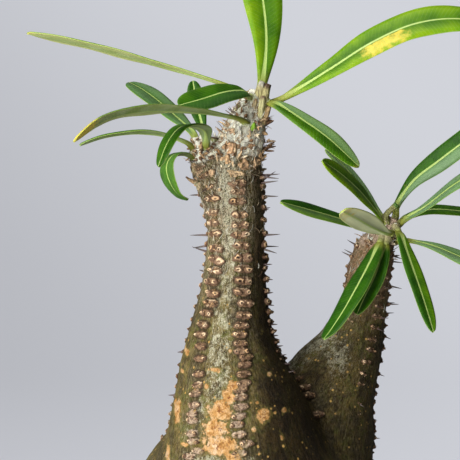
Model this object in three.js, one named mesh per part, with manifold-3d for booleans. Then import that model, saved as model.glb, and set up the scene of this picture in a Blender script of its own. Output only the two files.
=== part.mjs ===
// A potted Pachypodium gracilius: one swollen body with two bottle-shaped arms and a short side shoot,
// tubercles and paired spines in columns, three crowns of stalked leaves, and gritty soil in a plain
// clay pot. Millimetres, +Z up, the plant's front towards -Y, +X to its right.
// The origin is the middle of the pot's flat underside.
import * as THREE from 'three';
import { mergeVertices } from 'three/addons/utils/BufferGeometryUtils.js';
import Module from 'manifold-3d';

const wasm = await Module();
wasm.setup();

// Driving dimensions

const GAP = 0.3; // between pieces that touch

const POT = {
  height: 98,
  baseRadius: 43,
  bodyRadius: 54.5, // at the underside of the rim
  rimRadius: 60,
  rimHeight: 19,
  innerFoot: 38.5, // inner radius at the floor
  innerTop: 52.5,
  floor: 7,
  edge: 1.5, // chamfer of every edge
  sides: 48,
  drainRadius: 5,
  drainCircle: 21,
  drainCount: 3,
  drainSides: 16,
};

const SOIL = {
  level: 86, // where it meets the pot
  lip: 1.5, // breadth of its plain edge there
  step: 0.6, // rise from that edge to the grit
  mound: 2.5, // rise towards the plant
  grain: 1.3, // height of the grit's relief
  wander: 1, // how far a grain lies off its ring
  sides: 44,
  gritRings: 6,
  gritInner: 36, // the grit's relief ends here, under the plant
};

// A limb is a list of stations along its middle, from its root to its tip: x, y, z and radius.
const BODY = {
  sides: 36,
  rings: 22,
  stations: [
    [0, 3, 64, 12],
    [0, 3, 70, 26],
    [-0.5, 3, 80, 37.5],
    [-1, 3, 92, 43],
    [-1.5, 3, 106, 44.5],
    [-2.5, 3.5, 120, 41.5],
    [-3.5, 4, 134, 36],
    [-4, 4.5, 147, 28.5],
    [-4, 5, 155, 20],
    [-4, 5, 160, 9],
  ],
  // Low swellings: lobes round the body, height, turn at its foot, and turn gained up to its top
  swells: [[2, 0.9, -1.1, 0], [3, 0.8, 0.7, 2], [5, 0.5, 0, 4]],
};

const MAIN_ARM = {
  sides: 28,
  rings: 54, // two to a row of tubercles
  columns: 7, // of tubercles, up the arm
  phase: -80, // degrees from +X to the first column
  bump: 0.9,
  knobbed: [38, 124], // tubercles run between these distances along the arm, and spines
  spined: [78, 128],
  stations: [
    [-2, -0.5, 112, 36],
    [-2.5, -3.5, 126, 33],
    [-3.2, -5.2, 140, 28.2],
    [-4.2, -6, 153.7, 24.1],
    [-5.5, -6, 166, 20.2],
    [-7, -6, 178, 16],
    [-7.1, -6, 190, 12.2],
    [-6.3, -6, 203, 9.8],
    [-5.8, -6, 216, 8.9],
    [-6.5, -6, 228, 8.9],
    [-6.6, -6, 236, 8.9],
    [-4.6, -6, 242.5, 7.4],
    [-3.2, -6, 248, 6.3],
    [-1.6, -6, 252.5, 5.2],
    [0, -6, 257, 3.9],
    [0.8, -6, 260, 2.4],
  ],
};

const BACK_ARM = {
  sides: 24,
  rings: 40,
  columns: 6,
  phase: -70,
  bump: 0.8,
  knobbed: [34, 104],
  spined: [64, 104],
  stations: [
    [12, 9, 114, 24],
    [15, 12.5, 128, 21.5],
    [17, 15, 140, 20],
    [18.6, 16, 150.6, 19],
    [20.9, 16, 160.6, 17.6],
    [25.2, 16, 170.6, 14.4],
    [29.9, 16, 180, 10.8],
    [33.4, 16, 190, 8],
    [34.8, 16, 196.6, 7.2],
    [36.2, 16, 204.6, 6.9],
    [37.7, 16, 210.4, 6.1],
    [40.2, 16, 214.8, 4.8],
    [42.2, 16, 218, 3.6],
    [43.6, 16, 220.4, 2.2],
  ],
};

const SIDE_SHOOT = {
  sides: 12,
  rings: 12,
  columns: 4,
  phase: -130,
  bump: 0.6,
  knobbed: [7, 16],
  spined: [8, 18],
  stations: [
    [-6.5, -6.5, 226, 5.5],
    [-12.1, -8.5, 232.9, 5.4],
    [-15.1, -8.5, 238.9, 4.6],
    [-16.1, -8.5, 242.5, 3.8],
    [-16.8, -8.5, 246, 2.4],
  ],
};

// Tubercles stand on a low ridge, a share of their height, which fades in and out along the arm.
const KNOB = { ridge: 0.35, fadeIn: 12, fadeOut: 4 };

const ROOT = { sides: 6, rings: 5 };
const ROOTS = [
  [[8, 6, 76, 9], [19, 12, 58, 5.5], [25, 17, 40, 3.4], [26, 20, 26, 2]],
  [[-8, 8, 76, 9], [-18, 15, 60, 5.2], [-24, 19, 44, 3.2], [-24, 24, 30, 1.8]],
  [[-8, -4, 76, 9], [-19, -11, 56, 5], [-23, -17, 38, 3], [-22, -22, 24, 1.8]],
  [[9, -4, 76, 9], [18, -12, 60, 5.4], [22, -19, 44, 3.4], [21, -24, 30, 2]],
  [[0, 3, 72, 12], [2, 1, 54, 8], [-2, 3, 36, 5], [1, 1, 20, 2.2]],
];

// Cut leaf stalks that stay on the crowns
const STUB = { sides: 6, rings: 3 };
const STUBS = [
  [[1.2, -7.8, 254, 2.2], [2.4, -8.6, 258.4, 1.7], [3.3, -8.8, 261.4, 1]],
  [[-14.6, -9, 241.5, 1.6], [-12.8, -9.3, 243.6, 1.3], [-12.2, -9.3, 245.8, 1.1]],
  [[42.6, 14.2, 217.5, 1.5], [42.9, 13.6, 221, 1.2], [43.4, 13.2, 223.6, 1]],
];

const SPINE = {
  length: 5.5,
  radius: 0.5,
  sunk: 1.6,
  everyRings: 4, // a pair on every second tubercle
  apart: 11, // degrees round the limb from a column's middle to each spine
  splay: 16, // degrees between a spine and the way its place faces
  lift: 0.18, // how much it turns up along the limb
  clear: 1.2, // left free round every leaf
};

// A leaf's path runs from its seat on the crown to its tip. face is the way its upper side faces at
// the seat, roll turns that about the path, in degrees, from seat to tip, and stalk is the share of
// the path before the blade begins.
const LEAF = {
  stations: 12,
  stalk: 0.9, // half the width where the leaf leaves its seat
  stalkThick: 1.35,
  thick: 0.7, // from the share of the length given by flatFrom
  flatFrom: 0.2,
  fold: 0.12, // rise of each margin per half width
  rib: [0.5, 0.15], // how far the midrib stands out underneath, at the seat and the tip
  widest: 0.56, // share of the blade from its foot to its widest place
  waist: 1.6, // above 1, the foot of the blade is drawn in
  tip: 0.97, // the share of the blade at which its tip is cut
};
const CUSHION = { length: 5, root: 2, seat: 1.25 };

const LEAVES = {
  leaf_main_upright: {
    width: 13,
    face: [0.1, -1, 0.1],
    path: [[1.3, -4.6, 259.5], [2.4, -4.2, 263.6], [3.4, -2.6, 275.3], [2.3, -1, 288], [-1, 1, 305.6],
      [-5.6, 4, 323.5]],
  },
  leaf_main_long_right: {
    width: 9.8,
    stalk: 0.1,
    face: [-0.3, -0.85, 0.45],
    path: [[4.9, -6.6, 257.2], [10.5, -8, 258.9], [23, -10, 266.2], [35, -11, 273.6],
      [47.7, -12, 279.6], [61, -13, 281], [74.4, -14, 278]],
  },
  leaf_main_low_right: {
    width: 7.6,
    face: [0.3, -0.7, 0.65],
    path: [[4.3, -8.4, 256.2], [7.9, -10.4, 254.9], [13.9, -13, 251], [21.9, -16, 245.2],
      [30.8, -17, 236.9]],
  },
  leaf_main_front_left: {
    width: 9.5,
    face: [0, -0.6, 0.75],
    path: [[-1.9, -10, 258], [-4.3, -13.5, 259.5], [-9.4, -18, 259], [-15.7, -22, 257],
      [-22.6, -26, 255]],
  },
  leaf_main_far_left: {
    width: 7.5,
    stalk: 0.1,
    face: [0.3, 0.12, 0.95],
    path: [[-2.6, -4, 258.9], [-7.4, -3, 261], [-14, -2, 263.4], [-27.4, 1, 267.3], [-50.5, 4, 273.6],
      [-70.2, 8, 277.9]],
  },
  leaf_main_near_left: {
    width: 9,
    stalk: 0.08,
    face: [0, -0.1, 1],
    roll: [0, 35],
    path: [[-2.9, -12, 250.2], [-6.1, -17, 251.6], [-13.9, -28, 252.9], [-23.8, -40, 253.6],
      [-34.8, -50, 253], [-43.8, -57, 250.1], [-51, -61, 244.6]],
  },
  leaf_side_far_left: {
    width: 8.5,
    face: [0.35, -0.75, 0.55],
    path: [[-17.6, -5.8, 244.6], [-19.4, -3, 247.7], [-24.2, 4, 252], [-30, 12, 257], [-35, 18, 260.6],
      [-39.5, 23, 263]],
  },
  leaf_side_upright: {
    width: 4,
    face: [0, -1, 0.1],
    path: [[-15.6, -6.8, 247], [-16.2, -5.2, 250], [-17.6, -3.5, 255.6], [-18.9, -2.5, 263]],
  },
  leaf_side_left: {
    width: 7,
    stalk: 0.08,
    face: [0, -0.15, 1],
    path: [[-18.8, -10.4, 242.4], [-20.8, -13, 244.3], [-26.6, -16, 246.3], [-34.6, -19, 247.2],
      [-44, -21, 246.1], [-52, -22, 243.5]],
  },
  leaf_side_recurved: {
    width: 7.5,
    face: [0, 1, 0.2],
    path: [[-15, -12.2, 242.8], [-14.7, -14.5, 245.2], [-15.2, -20.5, 248], [-18.2, -27.5, 249.2],
      [-22.2, -32.5, 248.4], [-25.6, -36, 244], [-28.2, -37, 237.2]],
  },
  leaf_side_droop: {
    width: 6.5,
    face: [0, -0.2, 1],
    roll: [0, 60],
    path: [[-18.8, -10.8, 239.7], [-21.4, -13, 240.9], [-24.6, -16, 240.2], [-26.3, -18, 237],
      [-25.4, -19, 232.8], [-23, -19, 229], [-20, -19, 227.2]],
  },
  leaf_back_up_left: {
    width: 7.5,
    face: [0.5, -0.6, 0.6],
    path: [[39.9, 13, 219], [37, 9, 223.6], [31.9, 2, 229.4], [25.9, -5, 234.6], [20.1, -10, 238.7]],
  },
  leaf_back_up_left_far: {
    width: 6,
    face: [0.4, -0.3, 0.8],
    path: [[40.8, 18.2, 219.6], [37, 20, 224.8], [31.8, 22, 231], [27, 23, 236], [22.8, 24, 240]],
  },
  leaf_back_left: {
    width: 7.2,
    face: [0.1, -0.65, 0.75],
    path: [[38.4, 12.2, 216.4], [34.6, 9, 217.8], [26, 3, 220.7], [16.6, -3, 223.6], [7.6, -9, 226.2]],
  },
  leaf_back_front: {
    width: 7.2,
    face: [-0.45, 0.3, 0.8],
    path: [[42.3, 10.4, 216], [39.4, 2, 216.9], [34.4, -14, 219.4], [29.4, -30, 222.3],
      [24.6, -42, 224.8]],
  },
  leaf_back_upright: {
    width: 8,
    face: [-0.35, -0.65, 0.65],
    path: [[44.4, 17.4, 221.4], [45, 16.6, 225], [49.8, 14, 232.3], [57.7, 12, 238.7],
      [68.3, 10, 247], [78.2, 8, 254.8]],
  },
  leaf_back_right_rise: {
    width: 7.5,
    face: [-0.3, -0.4, 0.85],
    path: [[46, 14.2, 219.2], [48, 12.4, 220.8], [53.5, 9, 224.6], [61.3, 5, 231], [69.8, 1, 236.5],
      [77.8, -2, 241.3]],
  },
  leaf_back_right_level: {
    width: 7.5,
    face: [0, -0.5, 0.85],
    path: [[45.9, 19.4, 218.7], [48.6, 22.5, 220.6], [56.1, 27, 222.6], [66, 32, 222], [74.6, 36, 220.4],
      [82.5, 39, 218.3]],
  },
  leaf_back_right_low: {
    width: 7.5,
    stalk: 0.12,
    face: [0.1, -0.5, 0.85],
    path: [[45.2, 13.5, 213.4], [47.9, 11.4, 213.6], [55, 7, 212.2], [62.6, 3, 209.2], [69, -1, 206.2],
      [75, -5, 203.2]],
  },
  leaf_back_right_droop: {
    width: 6.5,
    face: [0.3, 0.1, 0.9],
    roll: [0, -20],
    path: [[44.8, 10.8, 216.2], [45.6, 8, 214.6], [47.6, 0, 207.6], [50, -8, 199.4], [52, -12, 192.4],
      [53.4, -14, 187.3]],
  },
  leaf_back_big_droop: {
    width: 8.4,
    face: [-0.2, -0.3, 0.9],
    roll: [0, 15],
    path: [[38.9, 9.8, 212.8], [37.4, 6, 210], [33.4, -1, 202.7], [27.9, -8, 194], [23, -12, 187.8],
      [20.6, -15, 185.4]],
  },
  leaf_back_far_droop: {
    width: 6.4,
    face: [-0.2, -0.3, 0.9],
    roll: [0, 15],
    path: [[41.4, 10, 212], [40.2, 7.2, 208.4], [37.6, 3.4, 202.4], [34.2, 0.6, 196.8], [31, -1.6, 192]],
  },
};

const PAINT = {
  clay: { color: 0xb5694a, roughness: 0.9 },
  grit: { color: 0x8a7a66, roughness: 1 },
  bark: { color: 0x6f6a52, roughness: 0.75 },
  leaf: { color: 0x3f8a1e, roughness: 0.4 },
};

// Solids and meshes

// A three.js geometry as a solid that can be joined and cut.
function solidOf(geometry) {
  const bare = geometry.clone();
  bare.deleteAttribute('normal');
  bare.deleteAttribute('uv');
  const merged = mergeVertices(bare, 1e-3);
  const index = Array.from(merged.index.array);
  const triangles = [];
  for (let i = 0; i < index.length; i += 3) {
    const [a, b, c] = index.slice(i, i + 3);
    if (a !== b && b !== c && c !== a) triangles.push(a, b, c);
  }
  return new wasm.Manifold(new wasm.Mesh({
    numProp: 3,
    vertProperties: new Float32Array(merged.attributes.position.array),
    triVerts: new Uint32Array(triangles),
  }));
}

const joined = (solids) => solids.reduce((whole, next) => whole.add(next));

function meshOf(name, solid, paint) {
  const { vertProperties, triVerts } = solid.getMesh();
  const geometry = new THREE.BufferGeometry();
  geometry.setAttribute('position', new THREE.BufferAttribute(vertProperties, 3));
  geometry.setIndex(new THREE.BufferAttribute(triVerts, 1));
  geometry.computeVertexNormals();
  const mesh = new THREE.Mesh(geometry, new THREE.MeshStandardMaterial(paint));
  mesh.name = name;
  return mesh;
}

// A closed skin over rings of equal count, with a fan over each end. Seen from the last ring's end,
// each ring runs anticlockwise.
function loft(rings) {
  const sides = rings[0].length;
  const points = rings.flat();
  const faces = [];
  for (let first = 0; first + sides < points.length; first += sides) {
    for (let i = 0; i < sides; i++) {
      const a = first + i;
      const b = first + ((i + 1) % sides);
      faces.push(a, b, b + sides, a, b + sides, a + sides);
    }
  }
  const fan = (first, outward) => {
    const middle = new THREE.Vector3();
    for (let i = 0; i < sides; i++) middle.addScaledVector(points[first + i], 1 / sides);
    points.push(middle);
    for (let i = 0; i < sides; i++) {
      const next = first + ((i + 1) % sides);
      faces.push(points.length - 1, outward ? first + i : next, outward ? next : first + i);
    }
  };
  const last = points.length - sides;
  fan(0, false);
  fan(last, true);
  return new THREE.BufferGeometry().setFromPoints(points).setIndex(faces);
}

const radians = THREE.MathUtils.degToRad;
const point = ([x, y, z]) => new THREE.Vector3(x, y, z);
const curveThrough = (points) => new THREE.CatmullRomCurve3(points, false, 'catmullrom', 0.5);

// Random numbers from 0 to 1, the same in every run.
function seeded(seed) {
  let state = seed;
  return () => {
    state = (state * 1664525 + 1013904223) % 4294967296;
    return state / 4294967296;
  };
}

// The places along a curve, at equal distances: each has its point, the way the curve runs, and a
// side direction that turns with the curve and doesn't twist about it.
function placesAlong(curve, count, firstSide) {
  const side = firstSide.clone();
  const places = [];
  for (let k = 0; k <= count; k++) {
    const ahead = curve.getTangentAt(k / count);
    side.addScaledVector(ahead, -side.dot(ahead)).normalize();
    const across = new THREE.Vector3().crossVectors(ahead, side);
    places.push({ at: curve.getPointAt(k / count), ahead, side: side.clone(), across, share: k / count });
  }
  return places;
}

// Limbs: the body, the arms, the shoot, the roots and the stubs

const smoothly = THREE.MathUtils.smoothstep;

// How far a tubercle lifts the bark at an angle round the limb and a share of its length. Columns
// beside each other are half a row apart.
function tubercleLift(limb, angle, share, length) {
  if (!limb.columns) return 0;
  const turn = (limb.columns * (angle - radians(limb.phase))) / (2 * Math.PI);
  const stagger = Math.abs(Math.round(turn)) % 2 ? Math.PI : 0;
  const column = Math.max(0, Math.cos(2 * Math.PI * turn)) ** 2;
  const row = 0.5 + 0.5 * Math.cos(Math.PI * limb.rings * share + stagger);
  const distance = share * length;
  const [from, to] = limb.knobbed;
  const fade = smoothly(distance, from, from + KNOB.fadeIn) * (1 - smoothly(distance, to, to + KNOB.fadeOut));
  return limb.bump * column * THREE.MathUtils.lerp(KNOB.ridge, 1, row) * fade;
}

// How far the low swellings lift the bark, most at half the limb's length.
function swellLift({ swells = [] }, angle, share) {
  const belly = Math.sin(Math.PI * share);
  const lift = ([lobes, height, turn, gain]) => height * Math.cos(lobes * angle + turn + gain * share);
  return belly * swells.reduce((sum, swell) => sum + lift(swell), 0);
}

// A limb's frame: a way to find its middle and its girth at any share of its length.
function skeleton(limb) {
  const middle = curveThrough(limb.stations.map(point));
  const girth = curveThrough(limb.stations.map(([, , , radius]) => new THREE.Vector3(radius, 0, 0)));
  const length = middle.getLength();
  const radiusAt = (share) => girth.getPoint(middle.getUtoTmapping(share)).x;
  const places = placesAlong(middle, limb.rings, new THREE.Vector3(1, 0, 0));
  const skin = (place, angle, grow = 0) => {
    const { share } = place;
    const lift = tubercleLift(limb, angle, share, length) + swellLift(limb, angle, share);
    const outward = place.side.clone().multiplyScalar(Math.cos(angle))
      .addScaledVector(place.across, Math.sin(angle));
    const distance = radiusAt(share) + lift + grow;
    return { at: place.at.clone().addScaledVector(outward, distance), outward };
  };
  return { places, length, skin };
}

function limbSolid(limb, grow = 0) {
  const { places, skin } = skeleton(limb);
  const rings = places.map((place) => Array.from({ length: limb.sides }, (_, i) =>
    skin(place, (2 * Math.PI * i) / limb.sides + radians(limb.phase ?? 0), grow).at));
  rings[0].forEach((corner) => corner.addScaledVector(places[0].ahead, -grow));
  return solidOf(loft(rings));
}

const rootLimbs = ROOTS.map((stations) => ({ ...ROOT, stations }));
const stubLimbs = STUBS.map((stations) => ({ ...STUB, stations }));

const UP = new THREE.Vector3(0, 1, 0); // the way a cone points before it is turned

// A three-sided needle from one point to another.
function needle(from, to, radius) {
  const way = to.clone().sub(from);
  const cone = new THREE.ConeGeometry(radius, way.length(), 3);
  cone.applyQuaternion(new THREE.Quaternion().setFromUnitVectors(UP, way.clone().normalize()));
  cone.translate(...from.clone().addScaledVector(way, 0.5).toArray());
  return solidOf(cone);
}

// Pairs of spines on a limb's tubercles. One that would reach a leaf is left out.
function spines(limb, isFree) {
  const { places, length, skin } = skeleton(limb);
  const [from, to] = limb.spined;
  const needles = [];
  for (let column = 0; column < limb.columns; column++) {
    for (let ring = column % 4; ring < limb.rings; ring += SPINE.everyRings) {
      const place = places[ring];
      if (place.share * length < from || place.share * length > to) continue;
      const middle = radians(limb.phase + (360 * column) / limb.columns);
      for (const hand of [-1, 1]) {
        const { at } = skin(place, middle + hand * radians(SPINE.apart));
        const { outward } = skin(place, middle + hand * radians(SPINE.apart + SPINE.splay));
        const way = outward.addScaledVector(place.ahead, SPINE.lift).normalize();
        const tip = at.clone().addScaledVector(way, SPINE.length);
        const root = at.clone().addScaledVector(way, -SPINE.sunk);
        if (isFree(at, tip)) needles.push(needle(root, tip, SPINE.radius));
      }
    }
  }
  return needles;
}

// Leaves

function leafPlaces({ path, face, roll = [0, 0] }) {
  const places = placesAlong(curveThrough(path.map(point)), LEAF.stations, point(face));
  places.forEach((place) => {
    const turn = radians(THREE.MathUtils.lerp(roll[0], roll[1], place.share));
    place.side.applyAxisAngle(place.ahead, turn);
    place.across.applyAxisAngle(place.ahead, turn);
  });
  return places;
}

// Half a leaf's width at a share of its length: the stalk, a blade that widens slowly, a round tip.
function halfWidth({ width, stalk = 0 }, share) {
  const blade = Math.max(0, (share - stalk) / (1 - stalk)) * LEAF.tip;
  const rise = Math.sin((Math.PI / 2) * Math.min(1, blade / LEAF.widest)) ** LEAF.waist;
  const past = Math.max(0, (blade - LEAF.widest) / (1 - LEAF.widest));
  return THREE.MathUtils.lerp(LEAF.stalk, width / 2, rise) * Math.sqrt(1 - past ** 2);
}

// A leaf's section is a shallow V with the midrib below it, and near the seat it closes to the stalk.
function leafSolid(leaf) {
  const rings = leafPlaces(leaf).map(({ at, side, across, share }) => {
    const half = halfWidth(leaf, share);
    const flat = smoothly(share, 0, LEAF.flatFrom);
    const rise = half * LEAF.fold * flat;
    const thick = THREE.MathUtils.lerp(LEAF.stalkThick, LEAF.thick, flat);
    const rib = THREE.MathUtils.lerp(...LEAF.rib, share);
    const corner = (out, up) => at.clone().addScaledVector(across, out).addScaledVector(side, up);
    return [
      corner(-half, rise + thick / 2),
      corner(0, thick / 2),
      corner(half, rise + thick / 2),
      corner(half, rise - thick / 2),
      corner(0, -thick / 2 - rib),
      corner(-half, rise - thick / 2),
    ];
  });
  return solidOf(loft(rings));
}

// The cushion that carries a leaf ends in a flat face, square to the stalk and just short of it.
function cushion({ path }) {
  const [seat, next] = path.slice(0, 2).map(point);
  const way = next.sub(seat).normalize();
  const station = (back, radius) => [...seat.clone().addScaledVector(way, -back).toArray(), radius];
  const stations = [station(GAP + CUSHION.length, CUSHION.root), station(GAP, CUSHION.seat)];
  return limbSolid({ sides: 6, rings: 1, stations });
}

// Each leaf is cut back to where it leaves its crown.
const crowns = () => joined([MAIN_ARM, BACK_ARM, SIDE_SHOOT, ...stubLimbs]
  .map((limb) => limbSolid(limb, GAP)));

// Whether a straight spine keeps clear of every leaf.
const leafSamples = Object.values(LEAVES).flatMap((leaf) => leafPlaces(leaf)
  .map(({ at, share }) => ({ at, reach: halfWidth(leaf, share) })));
function isFreeOfLeaves(from, to) {
  const spine = new THREE.Line3(from, to);
  const near = new THREE.Vector3();
  return leafSamples.every(({ at, reach }) =>
    spine.closestPointToPoint(at, true, near).distanceTo(at) > reach + SPINE.clear);
}

// The plant's one grown piece

function plantBody() {
  const arms = [MAIN_ARM, BACK_ARM, SIDE_SHOOT];
  return joined([
    ...[BODY, ...arms, ...rootLimbs, ...stubLimbs].map((limb) => limbSolid(limb)),
    ...Object.values(LEAVES).map(cushion),
    ...arms.flatMap((arm) => spines(arm, isFreeOfLeaves)),
  ]);
}

// Pot

// The pot's inner radius at a height above its underside.
function innerRadius(z) {
  return THREE.MathUtils.mapLinear(z, POT.floor, POT.height, POT.innerFoot, POT.innerTop);
}

function pot() {
  const e = POT.edge;
  const rimBottom = POT.height - POT.rimHeight;
  const profile = [
    [0, 0],
    [POT.baseRadius - e, 0],
    [POT.baseRadius, e],
    [POT.bodyRadius, rimBottom],
    [POT.rimRadius - e, rimBottom + e],
    [POT.rimRadius, rimBottom + 2 * e],
    [POT.rimRadius, POT.height - e],
    [POT.rimRadius - e, POT.height],
    [POT.innerTop + e, POT.height],
    [innerRadius(POT.height - e), POT.height - e],
    [innerRadius(POT.floor + e), POT.floor + e],
    [POT.innerFoot - e, POT.floor],
    [0, POT.floor],
  ].map(([r, z]) => new THREE.Vector2(r, z));
  const turned = new THREE.LatheGeometry(profile, POT.sides).rotateX(Math.PI / 2);
  let clay = solidOf(turned);
  for (let i = 0; i < POT.drainCount; i++) {
    const drill = new THREE.CylinderGeometry(POT.drainRadius, POT.drainRadius, 4 * POT.floor, POT.drainSides);
    const angle = (2 * Math.PI * i) / POT.drainCount + Math.PI / 2;
    drill.rotateX(Math.PI / 2);
    drill.translate(POT.drainCircle * Math.cos(angle), POT.drainCircle * Math.sin(angle), 0);
    clay = clay.subtract(solidOf(drill));
  }
  return clay;
}

// Soil: it fills the pot, its top is coarse grit, and the body and roots stand in a plain hole in it

function soil() {
  const random = seeded(11);
  const ring = (radius, height, rough = 0) => Array.from({ length: SOIL.sides }, (_, i) => {
    const angle = (2 * Math.PI * (i + rough * (random() - 0.5))) / SOIL.sides;
    const r = radius + rough * SOIL.wander * (random() - 0.5);
    const z = height + rough * SOIL.grain * (random() - 0.5);
    return new THREE.Vector3(r * Math.cos(angle), r * Math.sin(angle), z);
  });
  const bottom = POT.floor + GAP;
  const brim = innerRadius(SOIL.level) - GAP;
  const rings = [
    ring(POT.innerFoot - POT.edge - GAP, bottom),
    ring(innerRadius(bottom + POT.edge) - GAP, bottom + POT.edge),
    ring(brim, SOIL.level),
  ];
  for (let k = 0; k <= SOIL.gritRings; k++) {
    const share = k / SOIL.gritRings;
    const radius = THREE.MathUtils.lerp(brim - SOIL.lip, SOIL.gritInner, share);
    rings.push(ring(radius, SOIL.level + SOIL.step + SOIL.mound * share, 1));
  }
  const filled = solidOf(loft(rings));
  return [BODY, ...rootLimbs].reduce((mix, limb) => mix.subtract(limbSolid(limb, GAP)), filled);
}

// Assembly

const crownSkin = crowns();
const plant = new THREE.Group();
plant.add(
  meshOf('pot', pot(), PAINT.clay),
  meshOf('soil', soil(), PAINT.grit),
  meshOf('plant_body', plantBody(), PAINT.bark),
  ...Object.entries(LEAVES)
    .map(([name, leaf]) => meshOf(name, leafSolid(leaf).subtract(crownSkin), PAINT.leaf)),
);

export default plant;
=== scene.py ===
"""A potted Pachypodium gracilius: clay pot, gritty soil, grown bark with its tubercles and spines,
woolly crowns and stalked leaves, on a plain floor in soft studio light.

Lengths in the tables below are millimetres in the frame of the model, +Z up and the front towards -Y.
"""

import math
from types import SimpleNamespace

import bmesh
import bpy
import numpy as np
from bpy.props import FloatProperty, FloatVectorProperty, PointerProperty
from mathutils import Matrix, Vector, noise
from mathutils.bvhtree import BVHTree


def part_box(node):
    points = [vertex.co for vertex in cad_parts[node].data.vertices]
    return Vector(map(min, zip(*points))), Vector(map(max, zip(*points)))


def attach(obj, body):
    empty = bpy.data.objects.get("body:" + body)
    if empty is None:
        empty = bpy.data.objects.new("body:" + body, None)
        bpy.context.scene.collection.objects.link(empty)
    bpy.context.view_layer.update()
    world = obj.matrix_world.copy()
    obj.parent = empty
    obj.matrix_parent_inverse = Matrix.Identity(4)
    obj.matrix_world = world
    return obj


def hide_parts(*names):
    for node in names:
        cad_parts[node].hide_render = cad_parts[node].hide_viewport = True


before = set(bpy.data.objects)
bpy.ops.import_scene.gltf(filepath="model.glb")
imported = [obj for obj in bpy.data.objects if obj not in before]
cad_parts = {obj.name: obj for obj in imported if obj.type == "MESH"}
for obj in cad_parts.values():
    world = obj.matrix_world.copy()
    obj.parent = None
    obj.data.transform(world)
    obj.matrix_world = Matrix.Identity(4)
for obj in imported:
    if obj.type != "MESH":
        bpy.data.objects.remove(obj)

bl_info = {
    "name": "Potted pachypodium",
    "version": (1, 0, 0),
    "blender": (4, 5, 0),
    "location": "3D View > Sidebar > Pachypodium",
    "description": "Pot, grit, bark, tubercles, spines, crowns and leaves of a potted Pachypodium gracilius",
    "category": "Object",
}

MM = 0.001  # a millimetre, in metres

# The limbs: stations along each one's middle line (x, y, z, radius)

BODY = ((0, 3, 64, 12), (0, 3, 70, 26), (-0.5, 3, 80, 37.5), (-1, 3, 92, 43), (-1.5, 3, 106, 44.5),
        (-2.5, 3.5, 120, 41.5), (-3.5, 4, 134, 36), (-4, 4.5, 147, 28.5), (-4, 5, 155, 20), (-4, 5, 160, 9))
BODY_SWELLS = ((2, 0.9, -1.1, 0), (3, 0.8, 0.7, 2), (5, 0.5, 0, 4))  # lobes, height, turn, turn gained
MAIN_ARM = ((-2, -0.5, 112, 36), (-2.5, -3.5, 126, 33), (-3.2, -5.2, 140, 28.2), (-4.2, -6, 153.7, 24.1),
            (-5.5, -6, 166, 20.2), (-7, -6, 178, 16), (-7.1, -6, 190, 12.2), (-6.3, -6, 203, 9.8),
            (-5.8, -6, 216, 8.9), (-6.5, -6, 228, 8.9), (-6.6, -6, 236, 8.9), (-4.6, -6, 242.5, 7.4),
            (-3.2, -6, 248, 6.3), (-1.6, -6, 252.5, 5.2), (0, -6, 257, 3.9), (0.8, -6, 260, 2.4))
BACK_ARM = ((12, 9, 114, 24), (15, 12.5, 128, 21.5), (17, 15, 140, 20), (18.6, 16, 150.6, 19),
            (20.9, 16, 160.6, 17.6), (25.2, 16, 170.6, 14.4), (29.9, 16, 180, 10.8), (33.4, 16, 190, 8),
            (34.8, 16, 196.6, 7.2), (36.2, 16, 204.6, 6.9), (37.7, 16, 210.4, 6.1), (40.2, 16, 214.8, 4.8),
            (42.2, 16, 218, 3.6), (43.6, 16, 220.4, 2.2))
SIDE_SHOOT = ((-6.5, -6.5, 226, 5.5), (-12.1, -8.5, 232.9, 5.4), (-15.1, -8.5, 238.9, 4.6),
              (-16.1, -8.5, 242.5, 3.8), (-16.8, -8.5, 246, 2.4))
ROOTS = (((8, 6, 76, 9), (19, 12, 58, 5.5), (25, 17, 40, 3.4), (26, 20, 26, 2)),
         ((-8, 8, 76, 9), (-18, 15, 60, 5.2), (-24, 19, 44, 3.2), (-24, 24, 30, 1.8)),
         ((-8, -4, 76, 9), (-19, -11, 56, 5), (-23, -17, 38, 3), (-22, -22, 24, 1.8)),
         ((9, -4, 76, 9), (18, -12, 60, 5.4), (22, -19, 44, 3.4), (21, -24, 30, 2)),
         ((0, 3, 72, 12), (2, 1, 54, 8), (-2, 3, 36, 5), (1, 1, 20, 2.2)))
STUBS = (((-14.6, -9, 241.5, 1.6), (-12.8, -9.3, 243.6, 1.3), (-12.2, -9.3, 245.8, 1.1)),
         ((41.4, 14, 218.6, 1.4), (40.9, 13.4, 221.2, 0.95), (42.6, 13, 223.2, 0.85), (44.5, 12.6, 224.9, 1)))

BLEND = 2.2  # how widely the limbs flow into each other

# Columns of tubercles: degrees from +X, the heights where they start, fade and end, and their size. The
# two columns at the front of the main arm have their own pairs: height and degrees.
MAIN_COLUMNS = ((-13, 232, 192, 170, 0.9), (26, 232, 150, 118, 1), (77, 232, 150, 118, 1),
                (125, 232, 150, 118, 0.9), (172, 232, 150, 118, 0.72), (-130, 153, 150, 118, 1),
                (-86, 153, 150, 118, 1))
FRONT_PAIRS = (
    (231.5, -131), (228.1, -131), (223.8, -137), (220.6, -138), (217, -137), (212.3, -131), (208.9, -130),
    (205.5, -130), (202.1, -133), (198.6, -126), (195.7, -127), (192.8, -131), (189.5, -134), (186.6, -134),
    (183.5, -130), (180.2, -128), (176.3, -127), (173.5, -127), (171.3, -129), (167.9, -130), (165.3, -131),
    (163.3, -130), (159.5, -129), (157.4, -127), (154.9, -122),
    (232, -80), (229.6, -81), (226.5, -81), (222.5, -79), (219.6, -80), (216.6, -81), (213.5, -77),
    (209.8, -74), (206.6, -73), (203, -72), (199.8, -75), (196.5, -68), (192.9, -71), (189.9, -75),
    (187.1, -77), (184.5, -78), (182.2, -77), (180.4, -72), (178.2, -75), (175.3, -78), (172.7, -80),
    (171, -84), (168.9, -85), (166.2, -86), (163.6, -88), (161.2, -91), (158.4, -90), (156, -85))
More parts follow.
